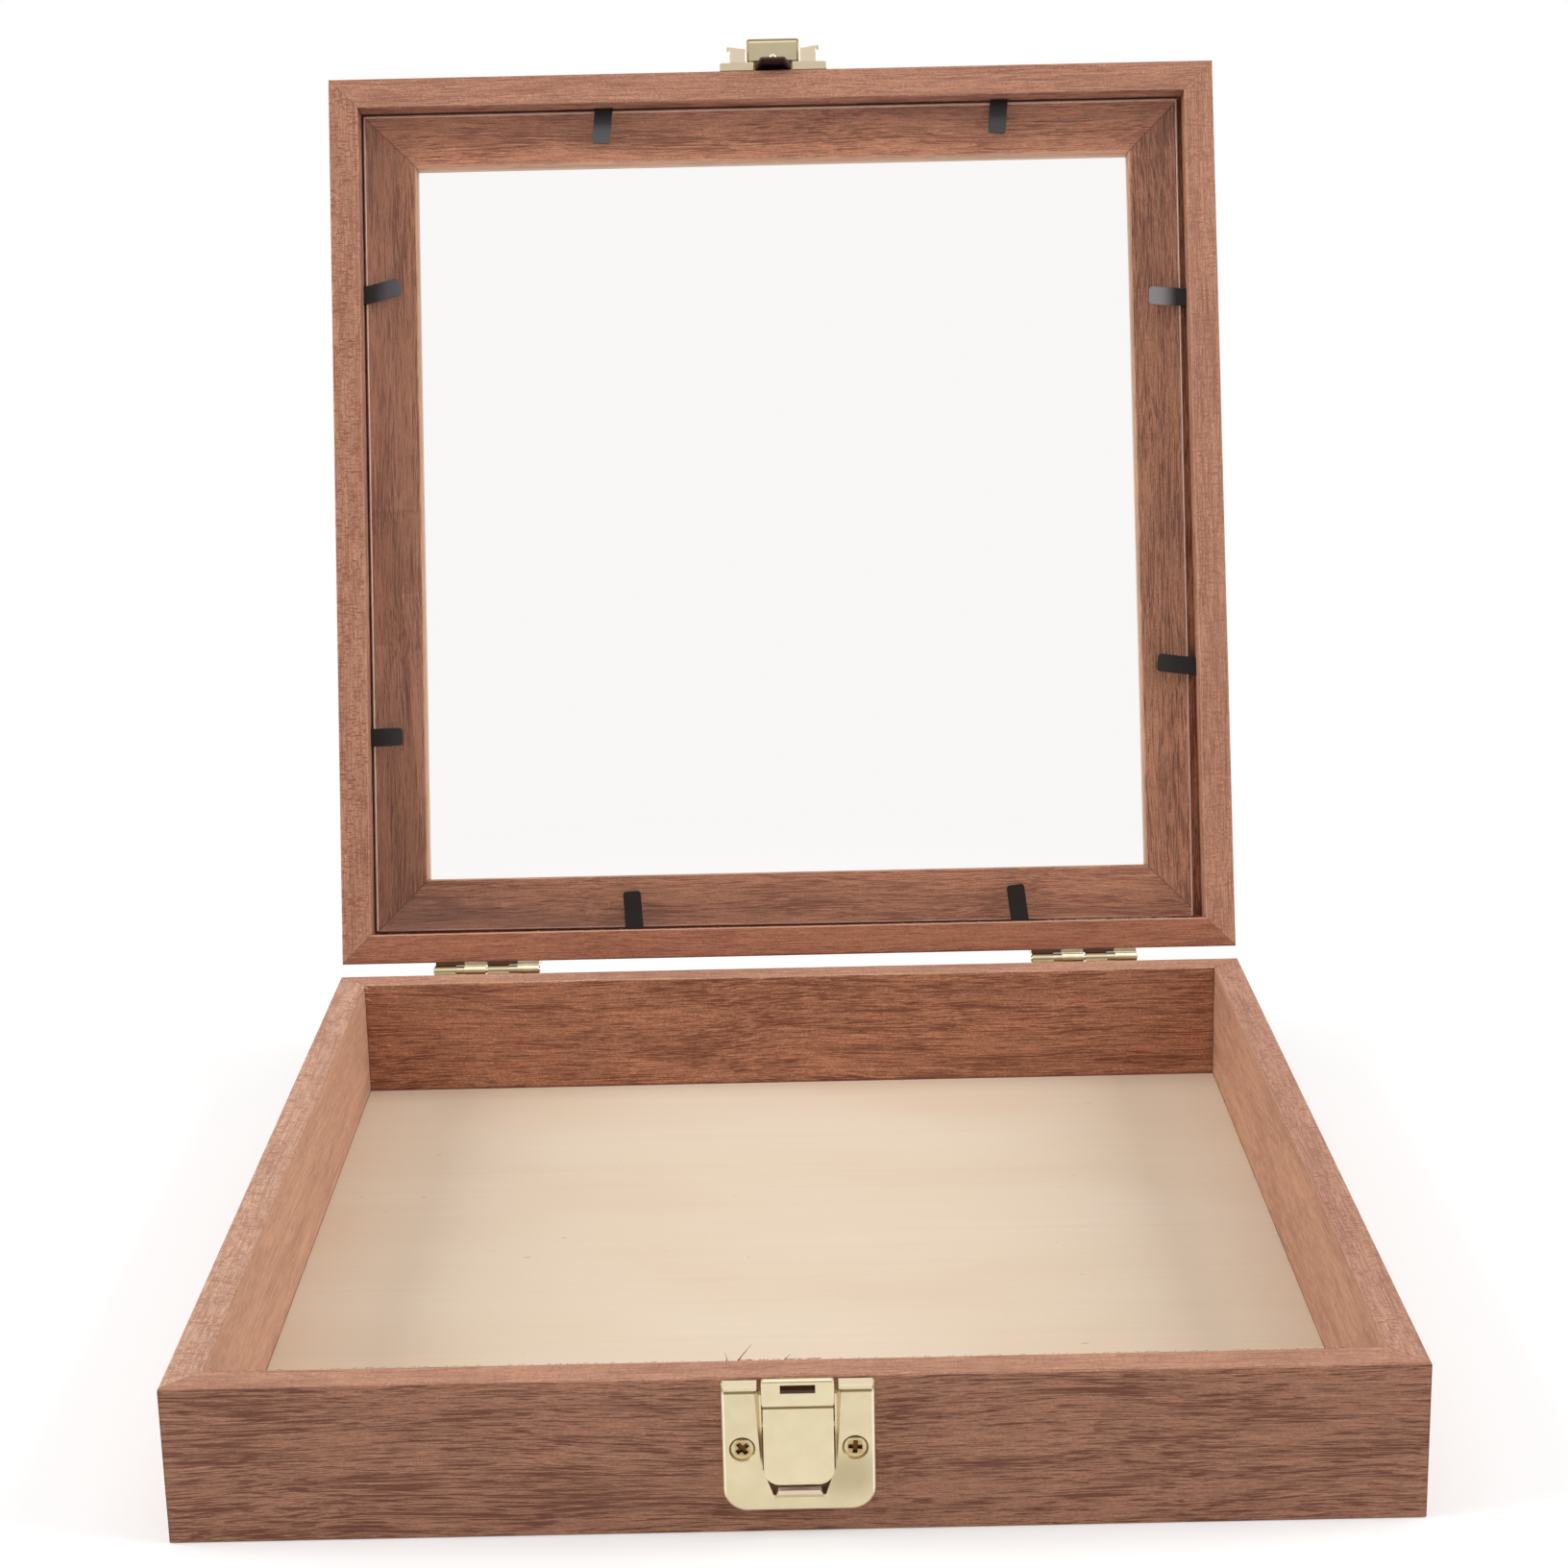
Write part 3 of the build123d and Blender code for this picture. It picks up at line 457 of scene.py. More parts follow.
# The wood just behind the latch's slot lies in deep shade
BEHIND_SLOT = colour(91, 60, 47)
behind_slot = (((-3.0, -101.0, 23.5), (4.0, -99.5, 26.0), (0.3, 0.3, 0.3), BEHIND_SLOT, 1.0),)
# Each tone of a face is a gain on red, green and blue. It is partly painted light, lighter or
# darker as a face turns to the lamps or away, and partly the plane that cut the face
looks = {
    ("tray_wall", "front"): {"rim": (1.18, 1.26, 1.33), "marks": behind_slot},
    ("tray_wall", "right"): {
        "rim": (1.21, 1.36, 1.50), "inner": (1.26, 1.44, 1.52),
        "planed": 0.45, "saw": 0.8, "inner saw": 0.25,
    },
    ("tray_wall", "back"): {
        "rim": (1.24, 1.38, 1.50), "inner": (1.10, 1.03, 0.97),
        "streaks": 1.7, "inner saw": 0.3,
    },
    ("tray_wall", "left"): {
        "rim": (1.42, 1.76, 1.98), "inner": (1.35, 1.61, 1.76),
        "planed": 0.6, "saw": 0.8, "inner saw": 0.1,
    },
    ("lid_rail", "front"): {
        "rim": (1.22, 1.24, 1.30), "inner": (1.25, 1.35, 1.52), "flange": (1.68, 1.54, 1.46),
        "planed flange": 0.1, "streaks": 1.25,
    },
    ("lid_rail", "right"): {
        "rim": (1.19, 1.22, 1.27), "flange": (1.34, 1.28, 1.20), "streaks": 1.2, "saw": 0.55,
    },
    ("lid_rail", "back"): {
        "rim": (0.95, 0.80, 0.74), "inner": (1.0, 0.9, 0.85), "flange": (1.26, 1.17, 1.10),
        "planed flange": 0.2, "streaks": 1.2, "saw": 0.0, "arris": 0.75,
    },
    ("lid_rail", "left"): {
        "rim": (1.20, 1.24, 1.27), "flange": (1.50, 1.42, 1.34), "planed flange": 0.2, "saw": 1.0,
    },
}
for side, order in quarter_turns.items():
    for part, on_lid in (("tray_wall", False), ("lid_rail", True)):
        seed = order + (6.0 if on_lid else 1.0)
        look = {**plain_look, **looks[part, side]}
        dress(f"{part}_{side}", board_finish(f"{part} {side}", side, on_lid, seed, look))
print("boards finished:", len(looks))

# %% [markdown]
# ## The bottom panel
# The tray's bottom is a thin pale veneer panel, smooth and almost plain. It has a faint straight
# grain from side to side, slow clouds of warmer and cooler cream, and a few tiny brown specks. The
# contrast has to stay low, or the panel would look like a different wood.

# %% Finish of the bottom panel
VENEER_LINE = colour(206, 178, 146)
panel_finish, tree, shader = new_finish("pale veneer")
place = mapped(tree, object_place(tree), {"Scale": TO_MM})
lines = grain_noise(tree, place, 0.012, 0.75, detail=4.0, roughness=0.65, distortion=0.3)
fine_lines = grain_noise(tree, place, 0.10, 4.0, detail=3.0, roughness=0.6, seed=5.0)
clouds = step_between(tree, grain_noise(tree, place, 0.012, 0.022, seed=9.0), 0.3, 0.7)
specks = grain_noise(tree, place, 0.30, 0.55, detail=1.0, seed=13.0)
veneer = blend_colour(tree, clouds, colour(233, 216, 194), colour(228, 208, 183))
for pattern, low, high, share, stain in (
    (lines, 0.40, 0.75, 0.11, VENEER_LINE),
    (fine_lines, 0.5, 0.75, 0.08, VENEER_LINE),
    (specks, 0.77, 0.84, 0.4, colour(150, 110, 75)),
):
    stained = product(tree, step_between(tree, pattern, low, high), share)
    veneer = blend_colour(tree, stained, veneer, stain)
smooth = relief(tree, fine_lines, 0.3, 0.05)
panel_surface = {
    "Base Color": veneer, "Roughness": 0.6, "Normal": smooth, "Specular IOR Level": 0.25,
}
fill(tree, shader, panel_surface)
dress("bottom_panel", panel_finish)
print("panel finished:", panel_finish.name)


# %% [markdown]
# ## The metal fittings
# The hinges, the latch and the catch are thin pressed steel, plated in a very pale gold. Plating
# follows the brushed sheet under it, so its shine is soft and slightly streaked. A Bevel node
# rounds the cut edges in the shading, which catches the light along each edge as real sheet does.
#
# Small dark places give such a fitting its depth: the shade under a folded edge, the inside of a
# slot, the cross of a screw. Each is painted shade, laid as a mark: a colour in a box with soft
# sides. Painted highlights and painted reflections are laid as marks in the same way.

# %% Finish of the plated fittings
def plated_finish(name, plate, shade, roughness, edge, marks, on_lid):
    """Soft plated sheet metal with faint brushing, rounded edges and painted marks."""
    finish, tree, shader = new_finish(name)
    place, _ = board_place(tree, "front", on_lid, 0.0)
    cloud = noise(tree, place, 0.35, 3.0, 0.6)
    scratches = grain_noise(tree, place, 9.0, 0.9, detail=3.0, roughness=0.6)
    tint = blend_colour(tree, step_between(tree, cloud, 0.35, 0.7), plate, shade)
    surface = {
        "Base Color": paint_marks(tree, place, tint, marks), "Metallic": 1.0,
        "Roughness": maths(tree, "MULTIPLY_ADD", cloud, 0.08, roughness - 0.04),
        "Normal": relief(tree, scratches, 0.10, 0.02, Normal=soft_edges(tree, edge)),
    }
    fill(tree, shader, surface)
    return finish


print("a mark is a box with soft sides, in millimetres")

# %% [markdown]
# The latch stands in the middle of the front, half a millimetre to the right, and its face is just
# outside y = -100. Its marks are painted light and shade: shade in the slot, a line of shade under
# the folded head, the shade under the two wings, a painted reflection of brown wood in the left
# cheek and of gold in the right one, shade in the screws' seats, a patch of shade at the lower
# right, and painted highlights on the wing tops, the lower lip and the edges below and at the
# sides.
# The catch is described with the lid shut, in the same millimetres: its flaps carry a painted
# highlight, and the sides and the edge of its thumb lift painted shade.

# %% Where the marks of the latch and the catch lie
LATCH_X = 0.5
CATCH_X = 0.7
SCREW_SPREAD = 8.9
SCREW_HEIGHT = 15.2
CATCH_SCREW_SPREAD = 8.4
CATCH_SCREW_HEIGHT = 33.6
# Painted shade lines, painted highlights on the latch's edges and the catch's flaps, and painted
# shade on the rim of the thumb lift
SHADE_LINE = colour(122, 100, 64)
EDGE_HIGHLIGHT = colour(250, 240, 214)
FLAP_HIGHLIGHT = colour(255, 236, 208)
LIFT_RIM_SHADE = colour(128, 112, 80)


def mark(middle, x, y, z, soft, tint, share):
    """A mark from its stretch along each axis, with x measured from a middle."""
    (low_x, high_x), (low_y, high_y), (low_z, high_z) = sorted(x), y, z
    low, high = (middle + low_x, low_y, low_z), (middle + high_x, high_y, high_z)
    return (low, high, soft, tint, share)


def marks_of_screw(middle, face, height):
    """A darker middle, painted shade on its upper edge and in its cross; the head is at y = face.
    """
    retinted, shaded, recess_shade = colour(164, 134, 84), colour(96, 72, 42), colour(92, 64, 34)
    whole_depth, cross_depth = (face - 1.0, face + 11.0), (face + 0.04, face + 11.0)
    middle_z, upper_z = (height - 0.8, height + 0.8), (height + 1.6, height + 2.0)
    whole_z = (height - 1.6, height + 1.6)
    return [
        mark(middle, (-0.8, 0.8), whole_depth, middle_z, (0.7,) * 3, retinted, 0.7),
        mark(middle, (-1.0, 1.0), whole_depth, upper_z, (0.6, 0.6, 0.3), shaded, 0.9),
        mark(middle, (-1.6, 1.6), cross_depth, whole_z, (0.03,) * 3, recess_shade, 1.0),
    ]


SHARP = (0.05, 0.05, 0.05)
# Painted shade in the slot and under the fold, painted reflections in the cheeks, painted shade on
# the plate and a painted highlight on its lower lip
SLOT_SHADE, FOLD_SOFT = colour(80, 56, 44), (0.1, 0.05, 0.15)
MIRRORED_WOOD, MIRRORED_GOLD = colour(118, 84, 48), colour(160, 136, 92)
SHADED_PLATE, LOWER_LIP_HIGHLIGHT = colour(182, 167, 132), colour(252, 230, 208)
CHEEK_Y = (-104.0, -101.50)
lever_marks = [
    mark(LATCH_X, (-2.9, 2.9), (-103.42, -99.0), (25.70, 27.10), SHARP, SLOT_SHADE, 1.0),
    mark(LATCH_X, (-6.5, 6.5), (-103.30, -99.0), (22.90, 23.45), FOLD_SOFT, SHADE_LINE, 0.95),
]
plate_marks = [
    mark(LATCH_X, (6.5, 9.0), (-101.6, -101.2), (10.0, 11.0), (6.0, 0.3, 5.5), SHADED_PLATE, 0.85),
    mark(LATCH_X, (-7.3, -5.7), CHEEK_Y, (14.5, 17.5), (0.3, 0.05, 2.5), MIRRORED_WOOD, 0.9),
    mark(LATCH_X, (5.7, 6.7), CHEEK_Y, (14.5, 17.5), (0.3, 0.05, 2.0), MIRRORED_GOLD, 0.8),
    mark(LATCH_X, (-4.2, 4.2), (-103.6, -101.55), (7.6, 8.8), (0.1, 0.05, 0.3), LOWER_LIP_HIGHLIGHT, 0.9),
    mark(LATCH_X, (-13.0, 13.0), (-104.0, -100.9), (4.0, 4.70), (0.1, 0.1, 0.15), EDGE_HIGHLIGHT, 0.8),
]
CATCH_Z = (26.0, 40.0)
CATCH_SOFT = (0.05, 0.1, 0.1)
CATCH_PLATE = colour(244, 226, 194)
catch_marks = [
    mark(CATCH_X, (-12.5, 12.5), (-101.8, -99.0), CATCH_Z, (0.1, 0.1, 0.1), CATCH_PLATE, 0.8),
]
SEAT_X, SEAT_Y = (-2.2, 2.2), (-101.34, -99.0)
SEAT_TOP = SCREW_HEIGHT + 2.2
# Painted highlights on the wing tops, painted shade in the screws' seats and above them
WING_HIGHLIGHT, SEAT_RING_SHADE, SEAT_SHADE = colour(238, 222, 190), colour(150, 124, 78), colour(72, 50, 28)
screw_marks, catch_screw_marks = [], []
for hand in (-1, 1):
    wing_x, side_x = (hand * 6.2, hand * 12.0), (hand * 11.65, hand * 12.5)
    flap_x, lift_side_x = (hand * 6.05, hand * 10.0), (hand * 5.45, hand * 6.0)
    seat = LATCH_X + hand * SCREW_SPREAD
    seat_z, seat_shade_z = (SCREW_HEIGHT - 2.2, SEAT_TOP), (SCREW_HEIGHT + 1.1, SEAT_TOP)
    plate_marks += [
        mark(LATCH_X, wing_x, (-104.0, -100.0), (26.85, 27.4), (0.1, 0.1, 0.1), WING_HIGHLIGHT, 1.0),
        mark(LATCH_X, wing_x, (-101.6, -101.0), (24.85, 25.40), (0.1, 0.1, 0.2), SHADE_LINE, 0.9),
        mark(LATCH_X, side_x, (-104.0, -100.9), (6.0, 24.6), (0.1, 0.1, 1.5), EDGE_HIGHLIGHT, 0.8),
        mark(seat, SEAT_X, SEAT_Y, seat_z, SHARP, SEAT_RING_SHADE, 0.9),
        mark(seat, SEAT_X, SEAT_Y, seat_shade_z, (0.05, 0.05, 0.9), SEAT_SHADE, 0.95),
    ]
    screw_marks += marks_of_screw(seat, -101.12, SCREW_HEIGHT)
    catch_seat = CATCH_X + hand * CATCH_SCREW_SPREAD
    catch_screw_marks += marks_of_screw(catch_seat, -101.52, CATCH_SCREW_HEIGHT)
    catch_marks += [
        mark(CATCH_X, flap_x, (-106.0, -101.9), CATCH_Z, CATCH_SOFT, FLAP_HIGHLIGHT, 1.0),
        mark(CATCH_X, lift_side_x, (-109.0, -102.6), CATCH_Z, CATCH_SOFT, LIFT_RIM_SHADE, 1.0),
    ]
catch_marks += [mark(CATCH_X, (-6.0, 6.0), (-109.0, -107.05), CATCH_Z, CATCH_SOFT, LIFT_RIM_SHADE, 1.0)]
print("marks:", len(lever_marks + plate_marks + screw_marks + catch_screw_marks + catch_marks))

# %% [markdown]
# The hinges' barrels mirror the brown wood beside them, and that is painted: the tops of a tray
# leaf's two knuckles carry a painted reflection of the wood, and the edge of the lid's leaf above
# them painted shade. Their places are shares of the leaf's length, which is read from the frame.

# %% Dress the hinges, the latch and the catch
PLATE, PLATE_SHADE = colour(222, 208, 173), colour(217, 203, 167)
SCREW, SCREW_SHADE = colour(216, 200, 158), colour(196, 174, 128)
LEVER, LEVER_SHADE = colour(228, 214, 179), colour(225, 210, 174)
LID_LEAF = colour(238, 224, 194)
KNUCKLE_SHADE = colour(104, 68, 44)
BARREL_Y, BARREL_Z = (HINGE_Y - 2.0, HINGE_Y + 2.0), (HINGE_Z + 0.95, HINGE_Z + 2.0)
LEAF_Y, LEAF_Z = (HINGE_Y - 3.0, HINGE_Y - 1.0), (HINGE_Z + 0.8, HINGE_Z + 2.2)
knuckle_marks, leaf_marks = [], []
for hand in ("left", "right"):
    low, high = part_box(f"hinge_{hand}_lid_leaf")
    start, length = low.x / MM, (high.x - low.x) / MM
    for first, last in ((0.0, 0.28), (0.5, 0.79)):
        knuckle = (start, (first * length, last * length))
        barrel, leaf = (*knuckle, BARREL_Y, BARREL_Z), (*knuckle, LEAF_Y, LEAF_Z)
        knuckle_marks.append(mark(*barrel, (0.1, 0.1, 0.25), KNUCKLE_SHADE, 0.8))
        leaf_marks.append(mark(*leaf, (0.1, 0.1, 0.1), KNUCKLE_SHADE, 0.9))
# Each plating: its two tones, its roughness, the radius of its edges, its marks and where it lies
platings = {
    "latch": (PLATE, PLATE_SHADE, 0.34, 0.15, plate_marks, False),
    "lever": (LEVER, LEVER_SHADE, 0.34, 0.15, lever_marks, False),
    "catch": (PLATE, PLATE_SHADE, 0.34, 0.15, catch_marks, True),
    "hinge": (PLATE, PLATE_SHADE, 0.18, 0.12, knuckle_marks, False),
    "lid leaf": (LID_LEAF, PLATE, 0.22, 0.12, leaf_marks, True),
    "screw": (SCREW, SCREW_SHADE, 0.30, 0.08, screw_marks, False),
    "catch screw": (SCREW, SCREW_SHADE, 0.30, 0.08, catch_screw_marks, True),
}
gold = {
    name: plated_finish(f"pale gold {name}", *settings) for name, settings in platings.items()
}
fittings = {
    "latch_plate": "latch", "latch_pin": "latch", "latch_lever": "lever", "hook_plate": "catch"
}
for node_name in nodes:
    if node_name.startswith("hook_screw"):
        fittings[node_name] = "catch screw"
    elif node_name.endswith(("_screws", "_screw_left", "_screw_right")):
        fittings[node_name] = "screw"
    elif node_name.startswith("hinge_"):
        fittings[node_name] = "lid leaf" if "lid" in node_name else "hinge"
for node_name, plating in fittings.items():
    dress(node_name, gold[plating])
print("fittings plated:", len(fittings))


# %% [markdown]
# ## Black clips and spring steel
# The glass is held by eight strips of blackened steel. They are nearly black, and the bent tip of
# some has a painted grey highlight where the light grazes it. The catch's tongue and the latch's
# spring are bare spring steel, browner.

# %% Finish of the clips, the tongue and the spring
# The painted highlight on a clip's tip fades in over this stretch of y
TIP_HIGHLIGHT_FROM, TIP_HIGHLIGHT_TO = -91.4, -87.6


def blackened_finish(name, side, black, tip, roughness, metallic):
    """Blackened steel on the lid; far from the rail its tip takes a painted highlight colour."""
    finish, tree, shader = new_finish(name)
    board, _ = board_place(tree, side, True, 0.0)
    retinted = step_between(tree, separate(tree, board)["Y"], TIP_HIGHLIGHT_FROM, TIP_HIGHLIGHT_TO)
    wear = noise(tree, board, 0.7, 3.0, 0.6)
    surface = {
        "Base Color": blend_colour(tree, retinted, black, tip), "Metallic": metallic,
        "Roughness": maths(tree, "MULTIPLY_ADD", wear, 0.1, roughness - 0.05),
        "Normal": soft_edges(tree, 0.10),
    }
    fill(tree, shader, surface)
    return finish


CLIP_BLACK = colour(30, 23, 21)
SPRING_STEEL = colour(84, 62, 56)
# The colour of the painted highlight on each clip's tip
clip_tip_highlights = {
    "front_left": colour(74, 74, 76), "front_right": colour(48, 45, 44),
    "right_front": colour(156, 152, 154), "right_back": colour(44, 38, 36),
    "back_left": CLIP_BLACK, "back_right": CLIP_BLACK,
    "left_front": colour(92, 92, 98), "left_back": colour(50, 45, 44),
}
for clip, tip in clip_tip_highlights.items():
    side = clip.split("_")[0]
    finish = blackened_finish(f"blackened clip {clip}", side, CLIP_BLACK, tip, 0.30, 0.0)
    dress(f"glass_clip_{clip}", finish)
spring_steel = blackened_finish("spring steel", "front", SPRING_STEEL, SPRING_STEEL, 0.40, 0.2)
dress("hook_tongue", spring_steel)
dress("latch_spring", spring_steel)
print("clips finished:", len(clip_tip_highlights))

# %% [markdown]
# ## The glass
# A thin clear pane. Principled glass bends and reflects the rays that are seen, but it would stop
# the lamps' rays and leave the wood behind it in shadow. So a Mix Shader lets the lamps' rays
# straight through by a Transparent shader, and shows the glass to all others.

# %% Finish of the pane
def mix_shaders(tree, share, first, second):
    """Show the first shader, and the second by a share, on the surface."""
    mix = add_node(tree, "ShaderNodeMixShader", values={"Fac": share, 1: first, 2: second})
    fill(tree, tree.nodes["Material Output"], {"Surface": mix.outputs["Shader"]})


glass_finish, tree, shader = new_finish("clear pane")
film = product(tree, noise(tree, object_place(tree), 25.0, 3.0), 0.02)
glass_surface = {
    "Base Color": (0.975, 0.962, 0.957, 1.0), "Roughness": film, "IOR": 1.45,
    "Transmission Weight": 1.0, "Specular IOR Level": 0.2,
}
fill(tree, shader, glass_surface)
clear_way = add_node(tree, "ShaderNodeBsdfTransparent").outputs["BSDF"]
ray = add_node(tree, "ShaderNodeLightPath").outputs
lamp_ray = largest(tree, ray["Is Shadow Ray"], ray["Is Diffuse Ray"])
mix_shaders(tree, lamp_ray, shader.outputs["BSDF"], clear_way)
dress("lid_glass", glass_finish)
print("glass finished:", glass_finish.name)

# %% [markdown]
# The pane's cut edges are ground and let no clear light through: they show as a thin pale line, and
# the narrow gap between them and the wood stays dark. A closed skin a few hundredths of a
# millimetre thick is laid on them. It is made from the pane's own edge faces, so it fits wherever
# the pane lies.

# %% A ground skin on the pane's edges
SKIN = 0.04
SAME_PLACE = 0.001
MOSTLY_FLAT = 0.9
pane_shape = bmesh.new()
pane_shape.from_mesh(nodes["lid_glass"].data)
bmesh.ops.remove_doubles(pane_shape, verts=pane_shape.verts, dist=SAME_PLACE * MM)
flat_way = (swing_open @ Vector((0, 0, 1))).normalized()
broad_faces = [face for face in pane_shape.faces if abs(face.normal.dot(flat_way)) > MOSTLY_FLAT]
bmesh.ops.delete(pane_shape, geom=broad_faces, context="FACES")
bmesh.ops.solidify(pane_shape, geom=pane_shape.faces[:], thickness=-SKIN * MM)
bmesh.ops.recalc_face_normals(pane_shape, faces=pane_shape.faces[:])
edge_mesh = bpy.data.meshes.new("glass_ground_edge")
pane_shape.to_mesh(edge_mesh)
pane_shape.free()
ground_edge = add_object("glass_ground_edge", edge_mesh)
edge_finish, tree, shader = new_finish("ground glass edge")
grind = noise(tree, object_place(tree), 900.0, 3.0)
edge_tint = blend_colour(tree, grind, colour(196, 168, 156), colour(236, 214, 202))
fill(tree, shader, {"Base Color": edge_tint, "Roughness": 0.7})
edge_mesh.materials.append(edge_finish)
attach(ground_edge, "lid")
print("ground edge faces:", len(edge_mesh.polygons))

# %% [markdown]
# ## Torn fibres
# A saw tears fine fibres from bare wood. They lie along the sharp edges, mostly with the grain, and
# a few stand off into the box. One Geometry Nodes tree makes them all: it walks along given lines,
# drops points with gaps of uneven length, and sets a slender pointed splinter on each point. Its
# inputs are named, and each piece's seed is fixed, so the same fibres come out each time.

# %% Build the tree of nodes for torn fibres
torn = bpy.data.node_groups.new("torn fibres", "GeometryNodeTree")
torn_inputs = {
    "Geometry": "Geometry", "Spacing": "Float", "Kept share": "Float", "Shortest": "Float",
    "Longest": "Float", "Thickness": "Float", "Standing off": "Float", "Material": "Material",
    "Seed": "Int",
}
torn_sockets = add_sockets(torn, "INPUT", torn_inputs)
add_sockets(torn, "OUTPUT", {"Geometry": "Geometry"})
torn_in = torn.nodes.new("NodeGroupInput").outputs
torn_out = torn.nodes.new("NodeGroupOutput")


def random_value(low, high, offset):
    """A random number for each point, from low to high; offset keeps the draws apart."""
    node = add_node(torn, "FunctionNodeRandomValue", {"data_type": "FLOAT"})
    low_key, high_key = [key for key, socket in enumerate(node.inputs) if socket.enabled][:2]
    seed = total(torn, torn_in["Seed"], float(offset))
    fill(torn, node, {low_key: low, high_key: high, "Seed": seed})
    return next(socket for socket in node.outputs if socket.enabled)


def scaled(vector, factor):
    """A vector times a number."""
    values = {0: vector, "Scale": factor}
    return add_node(torn, "ShaderNodeVectorMath", {"operation": "SCALE"}, values).outputs["Vector"]


lines = add_node(torn, "GeometryNodeMeshToCurve", values={"Mesh": torn_in["Geometry"]})
walk = {"Curve": lines.outputs["Curve"], "Length": torn_in["Spacing"]}
points = add_node(torn, "GeometryNodeCurveToPoints", {"mode": "LENGTH"}, walk)
# Uneven gaps: each point slides along its line by up to one gap either way
along = points.outputs["Tangent"]
slide = product(torn, random_value(-1.0, 1.0, 1), torn_in["Spacing"])
slid = {"Geometry": points.outputs["Points"], "Offset": scaled(along, slide)}
moved_points = add_node(torn, "GeometryNodeSetPosition", values=slid)
# Fibres crowd in places: a slow noise along the line decides where more of them stay
position = add_node(torn, "GeometryNodeInputPosition").outputs["Position"]
crowd = noise(torn, position, 120.0, 2.0)
kept = product(torn, torn_in["Kept share"], product(torn, crowd, 2.0))
dropped = maths(torn, "GREATER_THAN", random_value(0.0, 1.0, 2), kept)
thinning = {"Geometry": moved_points.outputs["Geometry"], "Selection": dropped}
thinned = add_node(torn, "GeometryNodeDeleteGeometry", {"domain": "POINT"}, thinning)
print("fibre nodes so far:", len(torn.nodes))

# %% [markdown]
# Each splinter is a five-sided cone. It points along its line, one way or the other, and stands off
# by a random share of the line's own outward direction, which is stored on the line as "stand_off".

# %% Aim, size and set the splinters
stored = {"Name": "stand_off"}
way = add_node(torn, "GeometryNodeInputNamedAttribute", {"data_type": "FLOAT_VECTOR"}, stored)
stand = scaled(way.outputs[0], product(torn, random_value(0.15, 1.0, 3), torn_in["Standing off"]))
forwards = maths(torn, "SIGN", random_value(-1.0, 1.0, 4))
aim = vector_maths(torn, "ADD", scaled(along, forwards), stand)["Vector"]
turn = add_node(torn, "FunctionNodeAlignRotationToVector", {"axis": "Z"}, {"Vector": aim})
thick = product(torn, random_value(0.6, 1.3, 5), torn_in["Thickness"])
long = random_value(torn_in["Shortest"], torn_in["Longest"], 6)
size = add_node(torn, "ShaderNodeCombineXYZ", values={"X": thick, "Y": thick, "Z": long})
cone = {"Vertices": 5, "Radius Top": 0.0, "Radius Bottom": 1.0, "Depth": 1.0}
splinter = add_node(torn, "GeometryNodeMeshCone", values=cone)
setting = {
    "Points": thinned.outputs["Geometry"], "Instance": splinter.outputs["Mesh"],
    "Rotation": turn.outputs["Rotation"], "Scale": size.outputs["Vector"],
}
placed = add_node(torn, "GeometryNodeInstanceOnPoints", values=setting).outputs["Instances"]
real = add_node(torn, "GeometryNodeRealizeInstances", values={"Geometry": placed})
finishing = {"Geometry": real.outputs["Geometry"], "Material": torn_in["Material"]}
dressed = add_node(torn, "GeometryNodeSetMaterial", values=finishing)
fill(torn, torn_out, {"Geometry": dressed.outputs["Geometry"]})
print("fibre nodes in all:", len(torn.nodes))

# %% [markdown]
# The tray's fibres lie along the inner edge of its rims and along the joint with the bottom panel,
# thickest just left of the middle of the front rim and in the back left corner. There a few longer
# pale splinters stand out. The lid's lie along the inner edge of its rims, with more of them near
# the right end of the lower rail. Lines on the lid are given for the shut lid, in millimetres, and
# swung open with it.

# %% Lay the lines, run the tree and keep the result as a mesh
def fibre_finish(name, dark, light):
    """Bare torn wood: a dry surface between two browns."""
    finish, tree, shader = new_finish(name)
    fleck = step_between(tree, noise(tree, object_place(tree), 1500.0, 2.0), 0.35, 0.65)
    tint = blend_colour(tree, fleck, dark, light)
    fill(tree, shader, {"Base Color": tint, "Roughness": 0.8, "Specular IOR Level": 0.2})
    return finish


brown_fibre = fibre_finish("brown torn fibre", colour(134, 96, 72), colour(198, 154, 126))
pale_fibre = fibre_finish("pale torn fibre", colour(206, 160, 134), colour(236, 206, 184))


def torn_fibres(name, body, slot_name, on_lid, lines, finish, settings):
    """One piece of fibres along lines: each is its start, its end and how its fibres stand off."""
    line_mesh = bpy.data.meshes.new(f"{name}_lines")
    ends, ways = [], []
    for start, end, way in lines:
        for corner in (start, end):
            corner, outward = Vector(corner) * MM, Vector(way)
            if on_lid:
                corner = hinge_line + swing_open @ (corner - hinge_line)
                outward = swing_open @ outward
            ends.append(corner)
            ways.append(outward)
    line_mesh.from_pydata(ends, [(2 * i, 2 * i + 1) for i in range(len(lines))], [])
    outward_of_line = line_mesh.attributes.new("stand_off", "FLOAT_VECTOR", "POINT")
    for item, outward in zip(outward_of_line.data, ways):
        item.vector = outward
    holder = add_object(f"{name}_lines", line_mesh)
    maker = holder.modifiers.new("torn fibres", "NODES")
    maker.node_group = torn
    for socket_name, value in {**settings, "Material": finish}.items():
        maker[torn_sockets[socket_name]] = value
    shape = holder.evaluated_get(bpy.context.evaluated_depsgraph_get())
    mesh = bpy.data.meshes.new_from_object(shape)
    holder.modifiers.remove(maker)
    bpy.data.objects.remove(holder)
    piece = add_object(name, mesh)
    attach(piece, body)
    print(name, "has", len(mesh.polygons), "faces")


